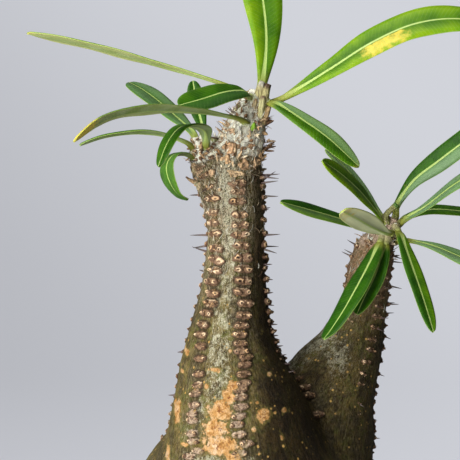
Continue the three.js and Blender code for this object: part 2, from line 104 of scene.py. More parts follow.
BACK_COLUMNS = ((-110, 210, 198, 184, 0.8), (-50, 210, 186, 160, 0.8), (10, 210, 150, 122, 0.9),
                (70, 210, 150, 122, 0.9), (130, 210, 150, 122, 0.9), (190, 210, 200, 190, 0.8))
SHOOT_COLUMNS = ((-100, 241, 232, 229, 0.75), (-40, 241, 232, 229, 0.75), (60, 241, 232, 229, 0.75),
                 (120, 241, 232, 229, 0.75))

# The leaves: width; stalk, the share of the path that is stalk; waist, higher where the blade widens more
# slowly; tip, higher where it is blunter; face, the way that the upper side looks at the seat; roll, how far
# that has turned at the seat and at the tip, in degrees; and the path.
LEAVES = {
    "leaf_main_upright": dict(width=13, waist=1.2, face=(0.1, -1, 0.1),
         path=((1.3, -4.6, 259.5), (2.4, -4.2, 263.6), (3.4, -2.6, 275.3), (2.3, -1, 288), (-1, 1, 305.6),
               (-5.6, 4, 323.5))),
    "leaf_main_long_right": dict(width=10.3, stalk=0.06, waist=1.05, face=(-0.3, -0.85, 0.45),
         path=((4.5, -6.2, 255.9), (10, -7.6, 258.4), (23, -10, 266.5), (35, -11, 274.1),
               (47.7, -12, 279.6), (61, -13, 281), (74.4, -14, 278))),
    "leaf_main_low_right": dict(width=7.8, waist=0.75, face=(0.3, -0.7, 0.65),
         path=((4.3, -8.4, 256.2), (7.9, -10.4, 254.9), (13.9, -13, 251), (21.9, -16, 245.2),
               (30.8, -17, 236.9))),
    "leaf_main_front_left": dict(width=10.8, waist=0.75, face=(0, -0.6, 0.75),
         path=((-1.9, -10, 258), (-4.3, -13.5, 259.5), (-9.4, -18, 259), (-15.7, -22, 257),
               (-22.6, -26, 255))),
    "leaf_main_far_left": dict(width=7.5, stalk=0.1, face=(0.3, 0.26, 0.92),
         path=((-2.6, -4, 258.9), (-7.4, -3, 261), (-14, -2, 263.4), (-27.4, 1, 267.3), (-50.5, 4, 273.6),
               (-70.2, 8, 277.9))),
    "leaf_main_near_left": dict(width=9.4, stalk=0.08, tip=4.5, face=(0, -0.1, 1), roll=(0, 33),
         path=((-2.9, -12, 250.2), (-6.1, -17, 251.6), (-13.9, -28, 252.9), (-23.8, -40, 253.6),
               (-34.8, -50, 253), (-43.8, -57, 250.1), (-51, -61, 244.6))),
    "leaf_side_far_left": dict(width=8.5, tip=4.5, face=(0.35, -0.75, 0.55),
         path=((-17.6, -5.8, 244.6), (-19.4, -3, 247.7), (-24.2, 4, 252), (-30, 12, 257), (-35, 18, 260.6),
               (-39.5, 23, 263))),
    "leaf_side_upright": dict(width=5.2, face=(0, -1, 0.1),
         path=((-15.6, -6.8, 247), (-16.2, -5.2, 250), (-17.6, -3.5, 255.6), (-18.9, -2.5, 263))),
    "leaf_side_left": dict(width=7, stalk=0.08, face=(0, -0.15, 1),
         path=((-18.8, -10.4, 242.4), (-20.8, -13, 244.3), (-26.6, -16, 246.3), (-34.6, -19, 247.2),
               (-44, -21, 246.1), (-52, -22, 243.5))),
    "leaf_side_recurved": dict(width=7.5, face=(0, 1, 0.2),
         path=((-15, -12.2, 242.8), (-14.7, -14.5, 245.2), (-15.2, -20.5, 248), (-18.2, -27.5, 249.2),
               (-22.2, -32.5, 248.4), (-25.6, -36, 244), (-28.2, -37, 237.2))),
    "leaf_side_droop": dict(width=8.6, face=(0, -0.2, 1), roll=(0, 60),
         path=((-18.8, -10.8, 239.7), (-21.4, -13, 240.9), (-24.6, -16, 240.2), (-26.3, -18, 237),
               (-25.4, -19, 232.8), (-23, -19, 229), (-20, -19, 227.2))),
    "leaf_back_up_left": dict(width=7.5, face=(0.5, -0.6, 0.6),
         path=((39.9, 13, 219), (37, 9, 223.6), (31.9, 2, 229.4), (25.9, -5, 234.6), (20.1, -10, 238.7))),
    "leaf_back_up_left_far": dict(width=7.6, waist=1.1, face=(0.4, -0.3, 0.8),
         path=((40.8, 18.2, 219.6), (36.8, 20, 225.4), (32, 22, 232.2), (27.2, 23, 237.8), (22.6, 24, 242))),
    "leaf_back_left": dict(width=7.2, face=(0.1, -0.65, 0.75),
         path=((38.4, 12.2, 216.4), (34.6, 9, 217.8), (26, 3, 220.7), (16.6, -3, 223.6), (7.6, -9, 226.2))),
    "leaf_back_front": dict(width=7.2, tip=4, face=(-0.45, 0.3, 0.8),
         path=((42.3, 10.4, 216), (39.4, 2, 216.9), (34.4, -14, 219.4), (29.4, -30, 222.3),
               (24.6, -42, 224.8))),
    "leaf_back_upright": dict(width=7.8, face=(-0.35, -0.65, 0.65),
         path=((44.4, 17.4, 221.4), (45, 16.6, 225), (49.8, 14, 232.3), (57.7, 12, 238.7), (68.3, 10, 247),
               (78.2, 8, 254.8))),
    "leaf_back_right_rise": dict(width=6.8, face=(-0.3, -0.6, 0.7),
         path=((46, 14.2, 219.2), (48, 12.4, 220.8), (53.5, 9, 224.6), (61.3, 5, 231), (69.8, 1, 236.5),
               (77.8, -2, 241.3))),
    "leaf_back_right_level": dict(width=7.5, face=(0, -0.5, 0.85),
         path=((45.9, 19.4, 218.7), (48.6, 22.5, 220.6), (56.1, 27, 222.6), (66, 32, 222),
               (74.6, 36, 220.4), (82.5, 39, 218.3))),
    "leaf_back_right_low": dict(width=7.5, stalk=0.12, face=(0.1, -0.5, 0.85),
         path=((45.2, 13.5, 213.4), (47.9, 11.4, 213.6), (55, 7, 212.2), (62.6, 3, 209.2), (69, -1, 206.2),
               (75, -5, 203.2))),
    "leaf_back_right_droop": dict(width=6.0, waist=0.7, face=(0.3, -0.55, 0.7),
         path=((44.8, 10.8, 216.2), (45.6, 8, 214.6), (47.6, 0, 207.6), (50, -8, 199.4), (52, -12, 192.4),
               (53.4, -14, 187.3))),
    "leaf_back_big_droop": dict(width=8.2, waist=0.6, face=(-0.2, -0.3, 0.9), roll=(0, 15),
         path=((38.9, 9.8, 212.8), (37.1, 6, 210), (32.7, -1, 202.7), (27.2, -8, 194), (22.8, -12, 187.8),
               (20.6, -15, 185.4))),
    "leaf_back_far_droop": dict(width=8, waist=0.6, face=(-0.2, -0.3, 0.9), roll=(0, 15),
         path=((40.6, 10, 212), (39.2, 7.2, 208.4), (36.8, 3.4, 202.4), (33.8, 0.6, 196.8),
               (31.2, -1.6, 191.6))),
}


# Lines, frames and noise


def unit(vectors):
    return vectors / np.linalg.norm(vectors, axis=-1, keepdims=True)


def smooth(value, low, high):
    """0 below low, 1 above high, and an even rise between them."""
    t = np.clip((value - low) / (high - low), 0, 1)
    return t * t * (3 - 2 * t)


def smooth_line(stations, count):
    """count + 1 places evenly spaced along the smooth line through the stations, and its length."""
    known = np.array(stations, float)
    held = np.vstack([2 * known[0] - known[1], known, 2 * known[-1] - known[-2]])

    def at(t):
        t = t * (len(known) - 1)
        i = np.minimum(t.astype(int), len(known) - 2)
        w = (t - i)[:, None]
        a, b, c, d = (held[i + k] for k in range(4))
        m, n = (c - a) / 2, (d - b) / 2
        return (2 * b - 2 * c + m + n) * w**3 + (3 * c - 3 * b - 2 * m - n) * w**2 + m * w + b

    t = np.linspace(0, 1, 50 * len(known))
    steps = np.linalg.norm(np.diff(at(t)[:, :3], axis=0), axis=1)
    run = np.concatenate([[0], np.cumsum(steps)])
    return at(np.interp(np.linspace(0, run[-1], count + 1), run, t)), run[-1]


def frames_along(points, side):
    """At each point of a line: the way ahead, a side that turns with the line, and the way across."""
    ahead = unit(np.gradient(points, axis=0))
    side, sides = np.array(side, float), []
    for way in ahead:
        side = unit(side - way * (side @ way))
        sides.append(side)
    return ahead, np.array(sides), np.cross(ahead, sides)


def cloudy(points, size, seed):
    """Smooth noise from about -1 to 1 at each point, in patches of that size."""
    return np.array([noise.noise(p) for p in (points / size + 7.31 * seed).tolist()])


# Meshes


def round_turn(sides):
    """Evenly spaced angles all the way round."""
    return np.arange(sides) * 2 * math.pi / sides


def ring_faces(rings, sides):
    """The faces of a closed skin over rings of points, with a flat end at each side."""
    k, i = np.mgrid[0:rings - 1, 0:sides]
    a, b = k * sides + i, k * sides + (i + 1) % sides
    quads = np.stack([a, b, b + sides, a + sides], -1).reshape(-1, 4).tolist()
    return quads + [list(range(sides))[::-1], list(range((rings - 1) * sides, rings * sides))]


class Heap:
    """Parts that are gathered into one mesh, each with its points, faces and held values."""

    def __init__(self):
        self.points, self.faces, self.held, self.count = [], [], {}, 0

    def add(self, points, faces, **held):
        points = np.asarray(points, float)
        self.faces += [[self.count + i for i in face] for face in faces]
        self.points.append(points)
        self.count += len(points)
        for name, value in held.items():
            value = np.asarray(value, float)
            shape = (len(points), 3) if value.shape[-1:] == (3,) else (len(points),)
            self.held.setdefault(name, []).append(np.broadcast_to(value, shape))

    def piece(self, name, finish, slot):
        held = {key: np.concatenate(parts) for key, parts in self.held.items()}
        return make_piece(name, np.concatenate(self.points), self.faces, finish, held)


def make_piece(name, points, faces, finish, held=(), replaces=()):
    """A piece from points in millimetres, with the values that its finish reads."""
    mesh = bpy.data.meshes.new(name)
    mesh.from_pydata((points * MM).tolist(), [], faces)
    hold(mesh, dict(held))
    paint(mesh, finish)
    mesh.validate()
    return ride_piece(name, mesh, replaces)


def hold(mesh, values):
    """Writes named values, one for each point, into the mesh for its finish to read."""
    for name, value in values.items():
        kind, key = ("FLOAT", "value") if value.ndim == 1 else ("FLOAT_VECTOR", "vector")
        mesh.attributes.new(name, kind, "POINT").data.foreach_set(key, value.astype(np.float32).ravel())


def paint(mesh, finish):
    """Gives a mesh its one finish and smooth shading."""
    mesh.polygons.foreach_set("use_smooth", [True] * len(mesh.polygons))
    mesh.materials.clear()
    mesh.materials.append(finish)


def ride_piece(name, mesh, replaces=()):
    """A piece with that mesh, which rides with the pot."""
    piece = bpy.data.objects.new(name, mesh)
    bpy.context.scene.collection.objects.link(piece)
    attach(piece, "root")
    if replaces:
        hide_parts(*replaces)
    return piece


def carried_out(piece):
    """A piece's mesh as its modifier leaves it."""
    bpy.context.view_layer.update()
    return bpy.data.meshes.new_from_object(piece.evaluated_get(bpy.context.evaluated_depsgraph_get()))


def tube(stations, sides, rings, side=(1, 0, 0.01), fluting=0.0):
    """The points and faces of a tapering round stem along stations of x, y, z and radius."""
    line, _ = smooth_line(stations, rings - 1)
    _, out, across = frames_along(line[:, :3], side)
    angle = round_turn(sides)
    flute = 1 + fluting * np.cos(angle * (sides // 3))
    ways = np.cos(angle)[None, :, None] * out[:, None] + np.sin(angle)[None, :, None] * across[:, None]
    points = line[:, None, :3] + ways * (line[:, 3, None] * flute)[..., None]
    return points.reshape(-1, 3), ring_faces(rings, sides)


# The grown form of the plant


class Limb:
    """One limb: its middle line, its girth and the frame that turns with it."""

    def __init__(self, stations, swells=()):
        line, self.length = smooth_line(stations, 240)
        self.middle, self.radii, self.swells = line[:, :3], line[:, 3], swells
        self.ahead, self.side, self.across = frames_along(self.middle, (1, 0, 0))

    def at(self, along, values):
        row = np.clip(np.asarray(along) / self.length, 0, 1) * (len(self.middle) - 1)
        low = np.minimum(row.astype(int), len(self.middle) - 2)
        share = row - low
        share = share[..., None] if values.ndim > 1 else share
        return values[low] * (1 - share) + values[low + 1] * share

    def at_height(self, z):
        return np.interp(z, self.middle[:, 2], np.linspace(0, self.length, len(self.middle)))

    def swell(self, along, angle):
        share = along / self.length
        lift = sum(height * np.cos(lobes * angle + turn + gain * share)
                   for lobes, height, turn, gain in self.swells)
        return np.sin(math.pi * share) * lift

    def nearest(self, points):
        """For each point: its place along the limb, its offset in the limb's frame, and its gap to the skin."""
        square = (points**2).sum(1)[:, None] - 2 * points @ self.middle.T + (self.middle**2).sum(1)
        row = np.clip(square.argmin(1), 1, len(self.middle) - 2)
        each = np.arange(len(points))
        a, b, c = square[each, row - 1], square[each, row], square[each, row + 1]
        shift = np.clip((a - c) / np.maximum(2 * (a - 2 * b + c), 1e-9), -1, 1)
        along = (row + shift) * self.length / (len(self.middle) - 1)
        offset = points - self.at(along, self.middle)
        x = (offset * self.at(along, self.side)).sum(1)
        y = (offset * self.at(along, self.across)).sum(1)
        gap = np.linalg.norm(offset, axis=1) - self.at(along, self.radii)
        gap -= self.swell(along, np.arctan2(y, x))
        return np.stack([x, y, along], 1), unit(offset + 1e-9), gap

    def skin(self, along, angle):
        """The point of the limb's own skin at that place, and the way out of it."""
        way = self.at(along, self.side) * math.cos(angle) + self.at(along, self.across) * math.sin(angle)
        return self.at(along, self.middle) + way * (self.at(along, self.radii) + self.swell(along, angle)), way


LIMBS = (Limb(BODY, BODY_SWELLS), Limb(MAIN_ARM), Limb(BACK_ARM), Limb(SIDE_SHOOT))
MAIN_LIMB = LIMBS[1]


def grown_skin(points):
    """How far each point is outside the grown skin, the way out, each limb's say, and its place on each."""
    at_once = 20000
    parts = np.array_split(points, len(points) // at_once + 1)
    found = [[limb.nearest(part) for limb in LIMBS] for part in parts]
    places, ways, gaps = (np.concatenate([[limb[k] for limb in part] for part in found], axis=1)
                          for k in range(3))
    least = gaps.min(0)
    say = np.exp((least - gaps) / BLEND)
    gap = least - BLEND * np.log(say.sum(0))
    say /= say.sum(0)
    return gap, unit((say[..., None] * ways).sum(0)), say, places


def settled(points):
    """The points moved onto the grown skin, nearer with each of five steps."""
    for _ in range(5):
        gap, way, _, _ = grown_skin(points)
        points = points - gap[:, None] * way
    return points


def pad_places():
    """Where each pair of tubercles sits: limb, place along it, angle and size, from crown to foot."""
    random = np.random.default_rng(4)
    places = [(1, MAIN_LIMB.at_height(z), math.radians(angle), 1.0) for z, angle in FRONT_PAIRS]

    def column(number, angle, top, faded, foot, size):
        limb = LIMBS[number]
        along, drift = limb.at_height(top) + random.uniform(0, 2), random.uniform(0, 6)
        while along > limb.at_height(foot):
            girth = float(limb.at(along, limb.radii))
            wander = 3 * math.sin(0.11 * along + drift) + random.uniform(-3, 3)
            fade = float(smooth(along, limb.at_height(foot) - 2, limb.at_height(faded)))
            if random.random() < 0.35 + 0.65 * fade:
                big = size * (0.38 + 0.62 * fade) * random.uniform(0.88, 1.1)
                places.append((number, along, math.radians(angle) + math.radians(wander), big))
            spacing = float(np.interp(girth, (4, 9, 20, 30), (2.4, 3.3, 2.7, 2.6)))
            along -= spacing * random.uniform(0.92, 1.1)

    for number, columns in ((1, MAIN_COLUMNS), (2, BACK_COLUMNS), (3, SHOOT_COLUMNS)):
        for row in columns:
            column(number, *row)
    return places


class Pad:
    """The low cushion of bark that carries a pair of tubercles."""

    def __init__(self, number, along, angle, size):
        limb = LIMBS[number]
        self.limb, self.along, self.size = number, float(along), size
        self.seat = settled(np.array([limb.skin(along, angle)[0]]))[0]
        _, way, say, _ = grown_skin(self.seat[None])
        self.out, self.say = way[0], float(say[number, 0])
        up = limb.at(along, limb.ahead)
        self.up = unit(up - self.out * (up @ self.out))
        self.across = np.cross(self.up, self.out)
        # How pale its upper edge is, how near the foot it sits, and how far it stands out
        self.lid = 0.4 + 0.4 * math.sin(7.1 * self.along + 3 * angle)
        self.low = 1 - float(smooth(self.seat[2], 178, 208)) if number == 1 else 0.6
        self.ripe = 1 - 0.7 * float(smooth(self.seat[2], 198, 216)) if number == 1 else 0.7

    def spread(self, size, random):
        """Half the distance between its two tubercles."""
        return size.pair_spacing / MM / 2 * self.size * random.uniform(0.88, 1.1)


def all_pads():
    """The pads that lie on the open skin of their own limb."""
    return [pad for pad in (Pad(*place) for place in pad_places()) if pad.say > 0.5]


# Finishes

# The tones of the small marks in the finishes, which a user has no need to change
MARK = SimpleNamespace(
    blotch=(0.055, 0.03, 0.014), gloom=(0.04, 0.03, 0.01), crack=(0.022, 0.015, 0.005),
    lichen_low=(0.29, 0.275, 0.16), lichen_spot=(0.50, 0.49, 0.38), neck_dark=(0.05, 0.034, 0.02),
    neck_silver=(0.66, 0.62, 0.50), pad_shade=(0.05, 0.032, 0.02), pad_faded=(0.64, 0.49, 0.36),
    dusk=(0.13, 0.085, 0.035), tan=(0.40, 0.23, 0.13), gold=(0.50, 0.31, 0.09),
    peel_dry=(0.62, 0.48, 0.33), peel_split=(0.28, 0.115, 0.03), peel_rust=(0.22, 0.07, 0.02),
    peel_stain=(0.25, 0.20, 0.05), felt_low=(0.68, 0.57, 0.40), felt_green=(0.66, 0.70, 0.46),
    felt_chip=(0.74, 0.50, 0.28), felt_thread=(0.95, 0.93, 0.82), felt_tan=(0.34, 0.20, 0.12),
    felt_tan_pale=(0.66, 0.46, 0.33), knob_crack=(0.05, 0.025, 0.012), knob_pit=(0.022, 0.011, 0.006),
    spine_dry=(0.22, 0.17, 0.14), spine_tip=(0.02, 0.012, 0.012), spine_dust=(0.2, 0.15, 0.13),
    leaf_shade=(0.010, 0.042, 0.002), under_dark=(0.12, 0.19, 0.045), under_sheen=(0.90, 0.93, 0.62),
    over_sheen=(0.21, 0.32, 0.17), leaf_gold=(0.66, 0.47, 0.06), leaf_straw=(0.55, 0.48, 0.08),
    stalk=(0.15, 0.17, 0.02), stalk_pale=(0.27, 0.28, 0.05), clay_groove=(0.30, 0.11, 0.055),
    clay_grain=(0.62, 0.40, 0.28), clay_bloom=(0.66, 0.56, 0.48), clay_speck=(0.14, 0.06, 0.03),
    grit_dust=(0.6, 0.5, 0.4), grit_pore=(0.03, 0.02, 0.015), crown_split=(0.05, 0.028, 0.014),
    crown_dust=(0.75, 0.68, 0.5), paper_tooth=(0.30, 0.30, 0.33))


class Value:
    """An output in a finish, which can be reckoned with like a number."""

    def __init__(self, finish, socket):
        self.finish, self.socket = finish, socket

    def reckon(self, operation, first, second=0.0):
        return self.finish.add("Math", 0, {0: first, 1: second}, operation=operation)

    def __add__(self, other):
        return self.reckon("ADD", self, other)

    def __sub__(self, other):
        return self.reckon("SUBTRACT", self, other)

    def __rsub__(self, other):
        return self.reckon("SUBTRACT", other, self)

    def __mul__(self, other):
        return self.reckon("MULTIPLY", self, other)

    def __abs__(self):
        return self.reckon("ABSOLUTE", self)

    def at_least(self, other):
        return self.reckon("MAXIMUM", self, other)

    def to_and_fro(self, span):
        return self.reckon("PINGPONG", self, span)


class Finish:
    """A material while it is mixed. Each call adds nodes and gives back their output."""

    def __init__(self, name):
        self.material = bpy.data.materials.new(name)
        self.material.use_nodes = True
        self.tree = self.material.node_tree
        self.shader = self.tree.nodes["Principled BSDF"]

    def feed(self, socket, value):
        if isinstance(value, Value):
            self.tree.links.new(value.socket, socket)
        elif hasattr(value, "__len__"):
            socket.default_value = (*value, 1.0)[:len(socket.default_value)]
        else:
            socket.default_value = value

    def add(self, kind, output=0, inputs=(), **settings):
        made = self.tree.nodes.new("ShaderNode" + kind)
        for name, value in settings.items():
            setattr(made, name, value)
        for name, value in dict(inputs).items():
            self.feed(made.inputs[name], value)
        return Value(self, made.outputs[output])

    def held(self, name, output="Fac"):
        """What the mesh holds under that name at each point."""
        return self.add("Attribute", output, attribute_name=name)

    def place(self):
        return self.add("TexCoord", "Object")

    def split(self, value):
        """The three numbers of a place."""
        node = self.add("SeparateXYZ", 0, {0: value}).socket.node
        return [Value(self, output) for output in node.outputs]

    def stretched(self, where, scale):
        return self.add("VectorMath", 0, {0: where, 1: scale}, operation="MULTIPLY")

    def turned(self, where, turn, longer):
        """The place turned, and then drawn out along its own axes."""
        inputs = {"Vector": where, "Rotation": turn, "Scale": longer}
        return self.add("Mapping", 0, inputs, vector_type="TEXTURE")

    def cloud(self, where, size, detail=3.0, rough=0.55, twist=0.0):
        return self.add("TexNoise", 0, {"Vector": where, "Scale": 1 / size, "Detail": detail,
                                        "Roughness": rough, "Distortion": twist})

    def cells(self, where, size):
        return self.add("TexVoronoi", "Distance", {"Vector": where, "Scale": 1 / size})

    def rise(self, value, low, high, top=1.0):
        """0 below low and top above high."""
        return self.add("MapRange", 0, {"Value": value, "From Min": low, "From Max": high, "To Max": top},
                        interpolation_type="SMOOTHSTEP")

    def mix(self, share, under, over, blend="MIX"):
        return self.add("Mix", 2, {0: share, 6: under, 7: over}, data_type="RGBA", blend_type=blend)

    def layered(self, tone, *coats):
        """The tone with coats laid over it in order, each with its share and its own tone."""
        for share, over in coats:
            tone = self.mix(share, tone, over)
        return tone

    def relief(self, *coats):
        """Bumps laid over each other, each with its height and its depth in millimetres."""
        normal = {}
        for height, depth in coats:
            inputs = {"Height": height, "Distance": depth * MM, "Strength": 1.0}
            normal = {"Normal": self.add("Bump", 0, inputs | normal)}
        return normal["Normal"]

    def done(self, colour, roughness, **sockets):
        sockets |= {"Base_Color": colour, "Roughness": roughness}
        for name, value in sockets.items():
            self.feed(self.shader.inputs[name.replace("_", " ")], value)
        return self.material


def bark_finish(tones):
    """Olive bark: silvery lichen, purplish pads with painted shade round them, fine crossing fibres, tan
    flakes, wool at the crowns, and painted shade on the side away from the light.
    """
    f = Finish("bark")
    where = f.held("limb_place", "Vector")
    names = "lichen", "thready", "faded", "tanned", "pad", "peel"
    lichen, thready, faded, tanned, pad, peel = (f.held(name) for name in names)
    freckle = f.cloud(where, 0.8 * MM, 5, 0.75)
    speck = f.cloud(where, 0.4 * MM, 3, 0.6)
    grain = f.cloud(f.turned(where, (0, 0, 0), (1, 1, 7)), 0.5 * MM, 4, 0.65)
    wrinkle = f.cloud(f.turned(where, (0, 0, 0), (4, 4, 1)), 0.5 * MM, 3, 0.6)
    edge = freckle * 1.2 - 0.6  # makes the edges of the patches ragged
    thread = None
    for turn, size in (((0.35, 0.45, 0), 0.9), ((-0.4, -0.5, 0), 1.0), ((0.05, -0.1, 0), 0.7)):
        line = f.cloud(f.turned(where, turn, (1, 1, 8)), size * MM, 2, 0.5)
        line = f.rise(abs(line - 0.5), 0.03, 0.004)
        thread = thread.at_least(line) if thread else line

    mossy = f.cloud(where, 3 * MM, 5, 0.7, 0.5)
    blotch = f.cloud(f.turned(where, (0.1, 0.1, 0), (1, 1, 3)), 2.2 * MM, 5, 0.7)
    gloom = f.cloud(f.turned(where, (0, 0, 0), (1, 1, 2)), 6 * MM, 4, 0.6, 0.4)
    crust = lichen + (f.cloud(where, 2.0 * MM, 6, 0.8) * 3.0 + (grain * 1.2 - 2.1))
    ground = speck + grain * 0.6
    hide = f.layered(
        tones.pad_dark,
        (f.rise(wrinkle, 0.42, 0.56), tones.pad),
        (f.rise(freckle, 0.5, 0.62, 0.6), tones.knob),
        (f.rise(f.held("lid") + edge * 0.8, 0.25, 0.6, 0.8), tones.knob_pale),
        (faded * f.rise(freckle, 0.4, 0.55, 0.8), MARK.pad_faded))
    colour = f.layered(
        tones.bark_dark,
        (f.rise(f.cloud(where, 5 * MM, 4, 0.6), 0.36, 0.64), tones.bark),
        (f.rise(mossy, 0.48, 0.58, 0.8), tones.moss),
        (f.rise(blotch, 0.53, 0.66, 0.8), MARK.blotch),
        (f.rise(gloom, 0.46, 0.6, 0.9) * (1.0 - thready * 0.6), MARK.gloom),
        (f.rise(grain, 0.5, 0.62) * (thready * 0.45 + 0.3), tones.fibre),
        (f.rise(grain, 0.47, 0.38, 0.8), MARK.crack),
        (f.rise(crust, 0.55, 0.95, 0.9), f.mix(f.rise(speck, 0.36, 0.62), MARK.lichen_low, tones.lichen)),
        (f.rise(lichen * 0.16 + speck, 0.66, 0.78, 0.7), MARK.lichen_spot),
        (thread * (thready * 0.6 + 0.12), tones.fibre_pale),
        (f.rise(ground, 0.78, 0.66, 0.8) * thready, MARK.neck_dark),
        (f.rise(ground, 0.9, 1.0, 0.75) * thready, MARK.neck_silver),
        # Painted shade round each pad, weaker on the faded low pads
        (f.rise(f.held("round_pad") + edge * 1.2, 0.25, 0.85, 0.72) * (1.0 - faded * 0.6), MARK.pad_shade),
        (f.rise(pad + edge, 0.3, 0.8, 0.9), hide))
    # Painted shade, multiplied into the side of the arms away from the light
    colour = f.mix(f.held("dusk"), colour, MARK.dusk, "MULTIPLY")

    flecks = f.rise(f.cells(where, 2.6 * MM) - freckle * 0.12, 0.11, 0.05)
    flecks *= f.rise(f.cloud(where, 8 * MM, 2), 0.38, 0.5, 0.95)
    torn_at = peel + (f.cloud(where, 2.6 * MM, 6, 0.75) * 2.2 - 1.1)
    flaky = f.cloud(where, 1.2 * MM, 6, 0.75, 0.6) * 0.6 + f.cloud(where, 4 * MM, 2) * 0.4
    torn = f.layered(
        tones.peel,
        (f.rise(flaky, 0.46, 0.53), tones.peel_pale),
        (f.rise(flaky, 0.54, 0.6, 0.7), MARK.peel_dry),
        (f.rise(flaky, 0.46, 0.41, 0.85), MARK.peel_split),
        (f.rise(freckle + f.rise(torn_at, 0.9, 1.3, 0.14), 0.58, 0.66, 0.9), MARK.peel_rust))
    felt = f.layered(
        MARK.felt_low,
        (f.rise(f.held("crag") + edge * 1.2, -0.35, 0.3), tones.wool),
        (f.rise(freckle, 0.5, 0.4, 0.3), MARK.felt_green),
        (f.rise(freckle, 0.58, 0.66, 0.7), MARK.felt_chip),
        (thread, MARK.felt_thread),
        (tanned * 0.85, f.mix(grain, MARK.felt_tan, MARK.felt_tan_pale)))
    colour = f.layered(
        colour,
        (tanned * f.rise(freckle, 0.35, 0.6, 0.65), MARK.tan),
        (flecks * (1.0 - thready), MARK.gold),
        (f.rise(torn_at, 0.15, 0.5, 0.55), MARK.peel_stain),
        (f.rise(torn_at, 0.48, 0.62), torn),
        (f.rise(f.held("wool") + edge * 0.8, 0.3, 0.75), felt))
    relief = f.relief((grain, 0.3), (thread * 0.5, 0.3), (freckle, 0.3), (wrinkle * pad, 0.4),
                      (f.rise(torn_at, 0.45, 0.6), 0.3))
    return f.done(colour, freckle * 0.3 + 0.42, Normal=relief, Specular_IOR_Level=0.14)


def knob_finish(tones):
    """Corky tubercles: brown flanks, a pale worn rim with a painted highlight towards its upper side,
    and a dark hollow where the spine stood.
    """
    f = Finish("tubercles")
    where, own = f.place(), f.held("own")
    grain = f.cloud(where, 0.3 * MM, 4, 0.7)
    rim = f.held("rim") + (f.cloud(where, 0.9 * MM, 3, 0.6) * 2.6 - 1.3)
    colour = f.layered(
        f.mix(own, tones.knob_dark, tones.pad),
        (f.rise(rim, 0.2, 0.85), f.mix(own, tones.knob, tones.knob_pale)),
        (f.rise(grain, 0.6, 0.72, 0.6), MARK.knob_crack),
        (f.rise(f.held("pit"), 0.35, 0.9, 0.92), MARK.knob_pit))
    return f.done(colour, 0.62, Normal=f.relief((grain, 0.3)), Specular_IOR_Level=0.3)


def spine_finish(tones):
    """Woody spines, darker towards the point."""
    f = Finish("spines")
    colour = f.layered(
        tones.spine,
        (f.held("own"), MARK.spine_dry),
        (f.rise(f.held("tip"), 0.0, 0.8), MARK.spine_tip),
        (f.cloud(f.place(), 0.4 * MM) * 0.4, MARK.spine_dust))
    return f.done(colour, 0.5)


def leaf_finish(tones):
    """Glossy blade: pale midrib, faint side veins and edge, a paler underside, yellow where it ages, and
    painted light, shade and sheen on its halves.
    """
    f = Finish("leaf")
    out, along, edge = f.split(f.held("leaf_place", "Vector"))
    top, bright, bloom = f.held("top"), f.held("age"), f.held("bloom")
    age, shade = bright.at_least(0.0), (bright * -1.0).at_least(0.0)
    where, side = f.place(), abs(out)
    patchy = f.cloud(where, 6 * MM, 3)
    fine = f.cloud(where, 0.6 * MM, 3)
    bent = patchy * (0.8 * MM) + (side * -0.6 + along)
    vein = f.rise(bent.to_and_fro(0.6 * MM), 0.16 * MM, 0.0) * f.rise(side, 0.2 * MM, 0.8 * MM)
    blade = f.layered(
        tones.leaf_dark,
        (f.rise(patchy, 0.35, 0.65), tones.leaf),
        # Painted light where a half is lit, then painted shade where its value is below zero
        (age, f.mix(f.rise(patchy, 0.3, 0.7), tones.leaf_bright, tones.leaf_lime)),
        (shade, MARK.leaf_shade),
        (vein * (age * 0.1 + 0.03), tones.vein),
        # Painted sheen, grey, where a half reflects the light
        (bloom, MARK.over_sheen))
    under = f.layered(
        tones.underside,
        (f.rise(patchy, 0.3, 0.7), MARK.under_dark),
        # Painted light on a lit underside, and last a pale painted sheen
        (age, tones.underside_lit),
        (vein * 0.14, tones.vein),
        (bloom, MARK.under_sheen))
    old = f.held("yellow") + (f.cloud(where, 2 * MM, 5, 0.7) * 1.8 - 0.9)
    colour = f.layered(
        under,
        (top, blade),
        (f.rise(old, 0.2, 1.0, 0.9), f.mix(f.rise(fine, 0.4, 0.6), MARK.leaf_gold, MARK.leaf_straw)),
        (f.rise(side - f.held("rib"), 0.1 * MM, -0.1 * MM), f.mix(fine, tones.vein, tones.vein_green)),
        (f.rise(abs(edge), 0.955, 0.995, 0.6), tones.vein_green),
        (f.held("stalk"), f.mix(fine, MARK.stalk, MARK.stalk_pale)))
    rough = top * (fine * 0.12 - 0.18) + 0.5
    return f.done(colour, rough, Normal=f.relief((vein, 0.03), (fine, 0.03)), Specular_IOR_Level=0.12)


def clay_finish(tones):
    """Unglazed clay with throwing grain, patches of lime bloom and small dark specks."""
    f = Finish("clay")
    where = f.place()
    grain = f.cloud(where, 0.9 * MM, 5, 0.7)
    ridges = f.cloud(f.stretched(where, (0.05, 0.05, 1)), 1.6 * MM, 3)
    colour = f.layered(
        tones.clay,
        (f.rise(f.cloud(where, 26 * MM, 4, 0.6), 0.32, 0.68), tones.clay_pale),
        (f.rise(ridges, 0.4, 0.7, 0.25), MARK.clay_groove),
        (f.rise(grain, 0.6, 0.75, 0.35), MARK.clay_grain),
        (f.rise(f.cloud(where, 14 * MM, 6, 0.7), 0.54, 0.72, 0.4), MARK.clay_bloom),
        (f.rise(f.cells(where, 3.4 * MM), 0.12, 0.06, 0.6), MARK.clay_speck))
    return f.done(colour, 0.86, Normal=f.relief((ridges, 0.25), (grain, 0.18)), Specular_IOR_Level=0.3)


